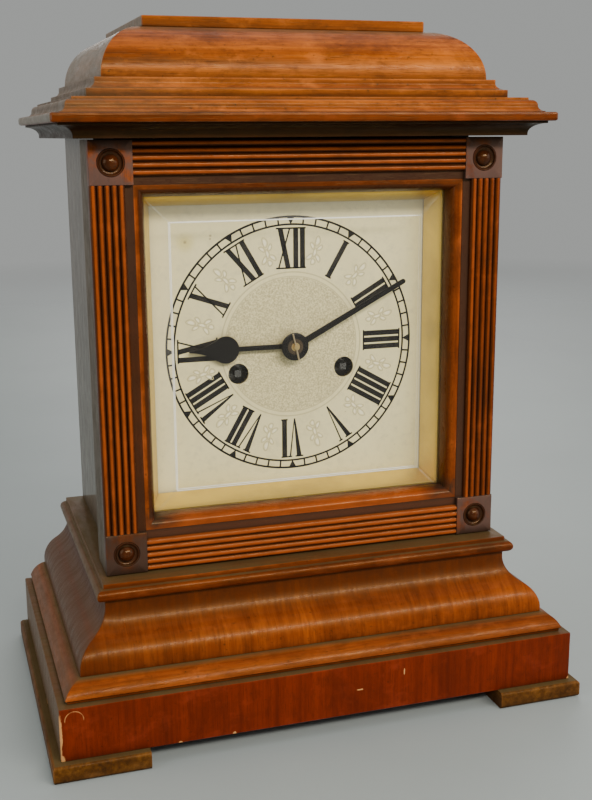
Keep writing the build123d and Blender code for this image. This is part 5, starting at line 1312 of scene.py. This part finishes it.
class CLOCK_OT_stage(bpy.types.Operator):
    """Pale ground, soft lights and the camera."""

    bl_idname = "clock.stage"
    bl_label = "Stage"

    def execute(self, context):
        settings = context.scene.clock_stage
        ground = bpy.data.objects.new("ground", ground_mesh())
        ground.data.materials.append(plain_floor("ground_paint", tuple(settings.ground)))
        context.scene.collection.objects.link(ground)
        for name, place, size, colour in LIGHTS:
            soft_light(name, place, size, getattr(settings, name), colour)
        world = bpy.data.worlds.new("even_light")
        world.use_nodes = True
        background = world.node_tree.nodes["Background"]
        background.inputs["Color"].default_value = (*SKY, 1.0)
        background.inputs["Strength"].default_value = settings.sky
        context.scene.world = world
        camera = bpy.data.objects.new("camera", bpy.data.cameras.new("camera"))
        camera.data.lens = CAMERA_LENS
        camera.data.sensor_width = CAMERA_SENSOR
        camera.data.clip_start = CAMERA_NEAR
        turn = Vector(CAMERA_TURN)
        spin = Matrix.Rotation(turn.length, 3, turn.normalized())
        base = Matrix(((1, 0, 0), (0, 0, -1), (0, 1, 0)))
        right, down, ahead = base @ spin
        axes = Matrix((right, -down, -ahead)).transposed()
        camera.matrix_world = Matrix.Translation(CAMERA_PLACE) @ axes.to_4x4()
        context.scene.collection.objects.link(camera)
        context.scene.camera = camera
        return {"FINISHED"}


def ground_mesh():
    """A flat round floor: rings of points round the Z axis."""
    radius = np.linspace(0.02, GROUND_EDGE, GROUND_RINGS)[:, None]
    angle = np.linspace(0, 2 * math.pi, GROUND_TURNS, endpoint=False)[None]
    x = radius * np.cos(angle)
    points = np.stack([x, radius * np.sin(angle), 0 * x], -1)
    faces = grid_faces(GROUND_RINGS, GROUND_TURNS, False, True).tolist()
    faces.append(list(range(GROUND_TURNS)))
    mesh = bpy.data.meshes.new("ground")
    mesh.from_pydata(points.reshape(-1, 3).tolist(), [], faces)
    return mesh


def soft_light(name, place, size, power, colour):
    """An area light of a width and a height that faces the middle of the clock."""
    data = bpy.data.lights.new(name, "AREA")
    data.shape = "RECTANGLE"
    data.size, data.size_y = size
    data.energy = power
    data.color = colour
    light = bpy.data.objects.new(name, data)
    aim = Vector(LIGHT_AIM) - Vector(place)
    light.rotation_euler = aim.to_track_quat("-Z", "Y").to_euler()
    light.location = place
    bpy.context.scene.collection.objects.link(light)


class CLOCK_PT_panel(bpy.types.Panel):
    """Settings and steps in the sidebar."""

    bl_idname = "CLOCK_PT_panel"
    bl_label = "Mantel Clock"
    bl_space_type = "VIEW_3D"
    bl_region_type = "UI"
    bl_category = "Clock"

    def draw(self, context):
        layout = self.layout
        for name in ("clock_wood", "clock_dial", "clock_stage"):
            group = getattr(context.scene, name)
            box = layout.box()
            for key in group.__annotations__:
                box.prop(group, key)
        for step in STEPS:
            layout.operator(step.bl_idname)


GROUPS = (("clock_wood", ClockWood), ("clock_dial", ClockDial), ("clock_stage", ClockStage))
STEPS = (
    CLOCK_OT_base, CLOCK_OT_case, CLOCK_OT_cornice, CLOCK_OT_door, CLOCK_OT_glass, CLOCK_OT_dial,
    CLOCK_OT_hands, CLOCK_OT_movement, CLOCK_OT_stage,
)


def register():
    for name, group in GROUPS:
        bpy.utils.register_class(group)
        setattr(bpy.types.Scene, name, bpy.props.PointerProperty(type=group))
    for step in STEPS:
        bpy.utils.register_class(step)
    bpy.utils.register_class(CLOCK_PT_panel)


def unregister():
    bpy.utils.unregister_class(CLOCK_PT_panel)
    for step in reversed(STEPS):
        bpy.utils.unregister_class(step)
    for name, group in reversed(GROUPS):
        delattr(bpy.types.Scene, name)
        bpy.utils.unregister_class(group)


def main():
    register()
    bpy.ops.clock.base()
    bpy.ops.clock.case()
    bpy.ops.clock.cornice()
    bpy.ops.clock.door()
    bpy.ops.clock.glass()
    bpy.ops.clock.dial()
    bpy.ops.clock.hands()
    bpy.ops.clock.movement()
    bpy.ops.clock.stage()


if __name__ == "__main__":
    main()
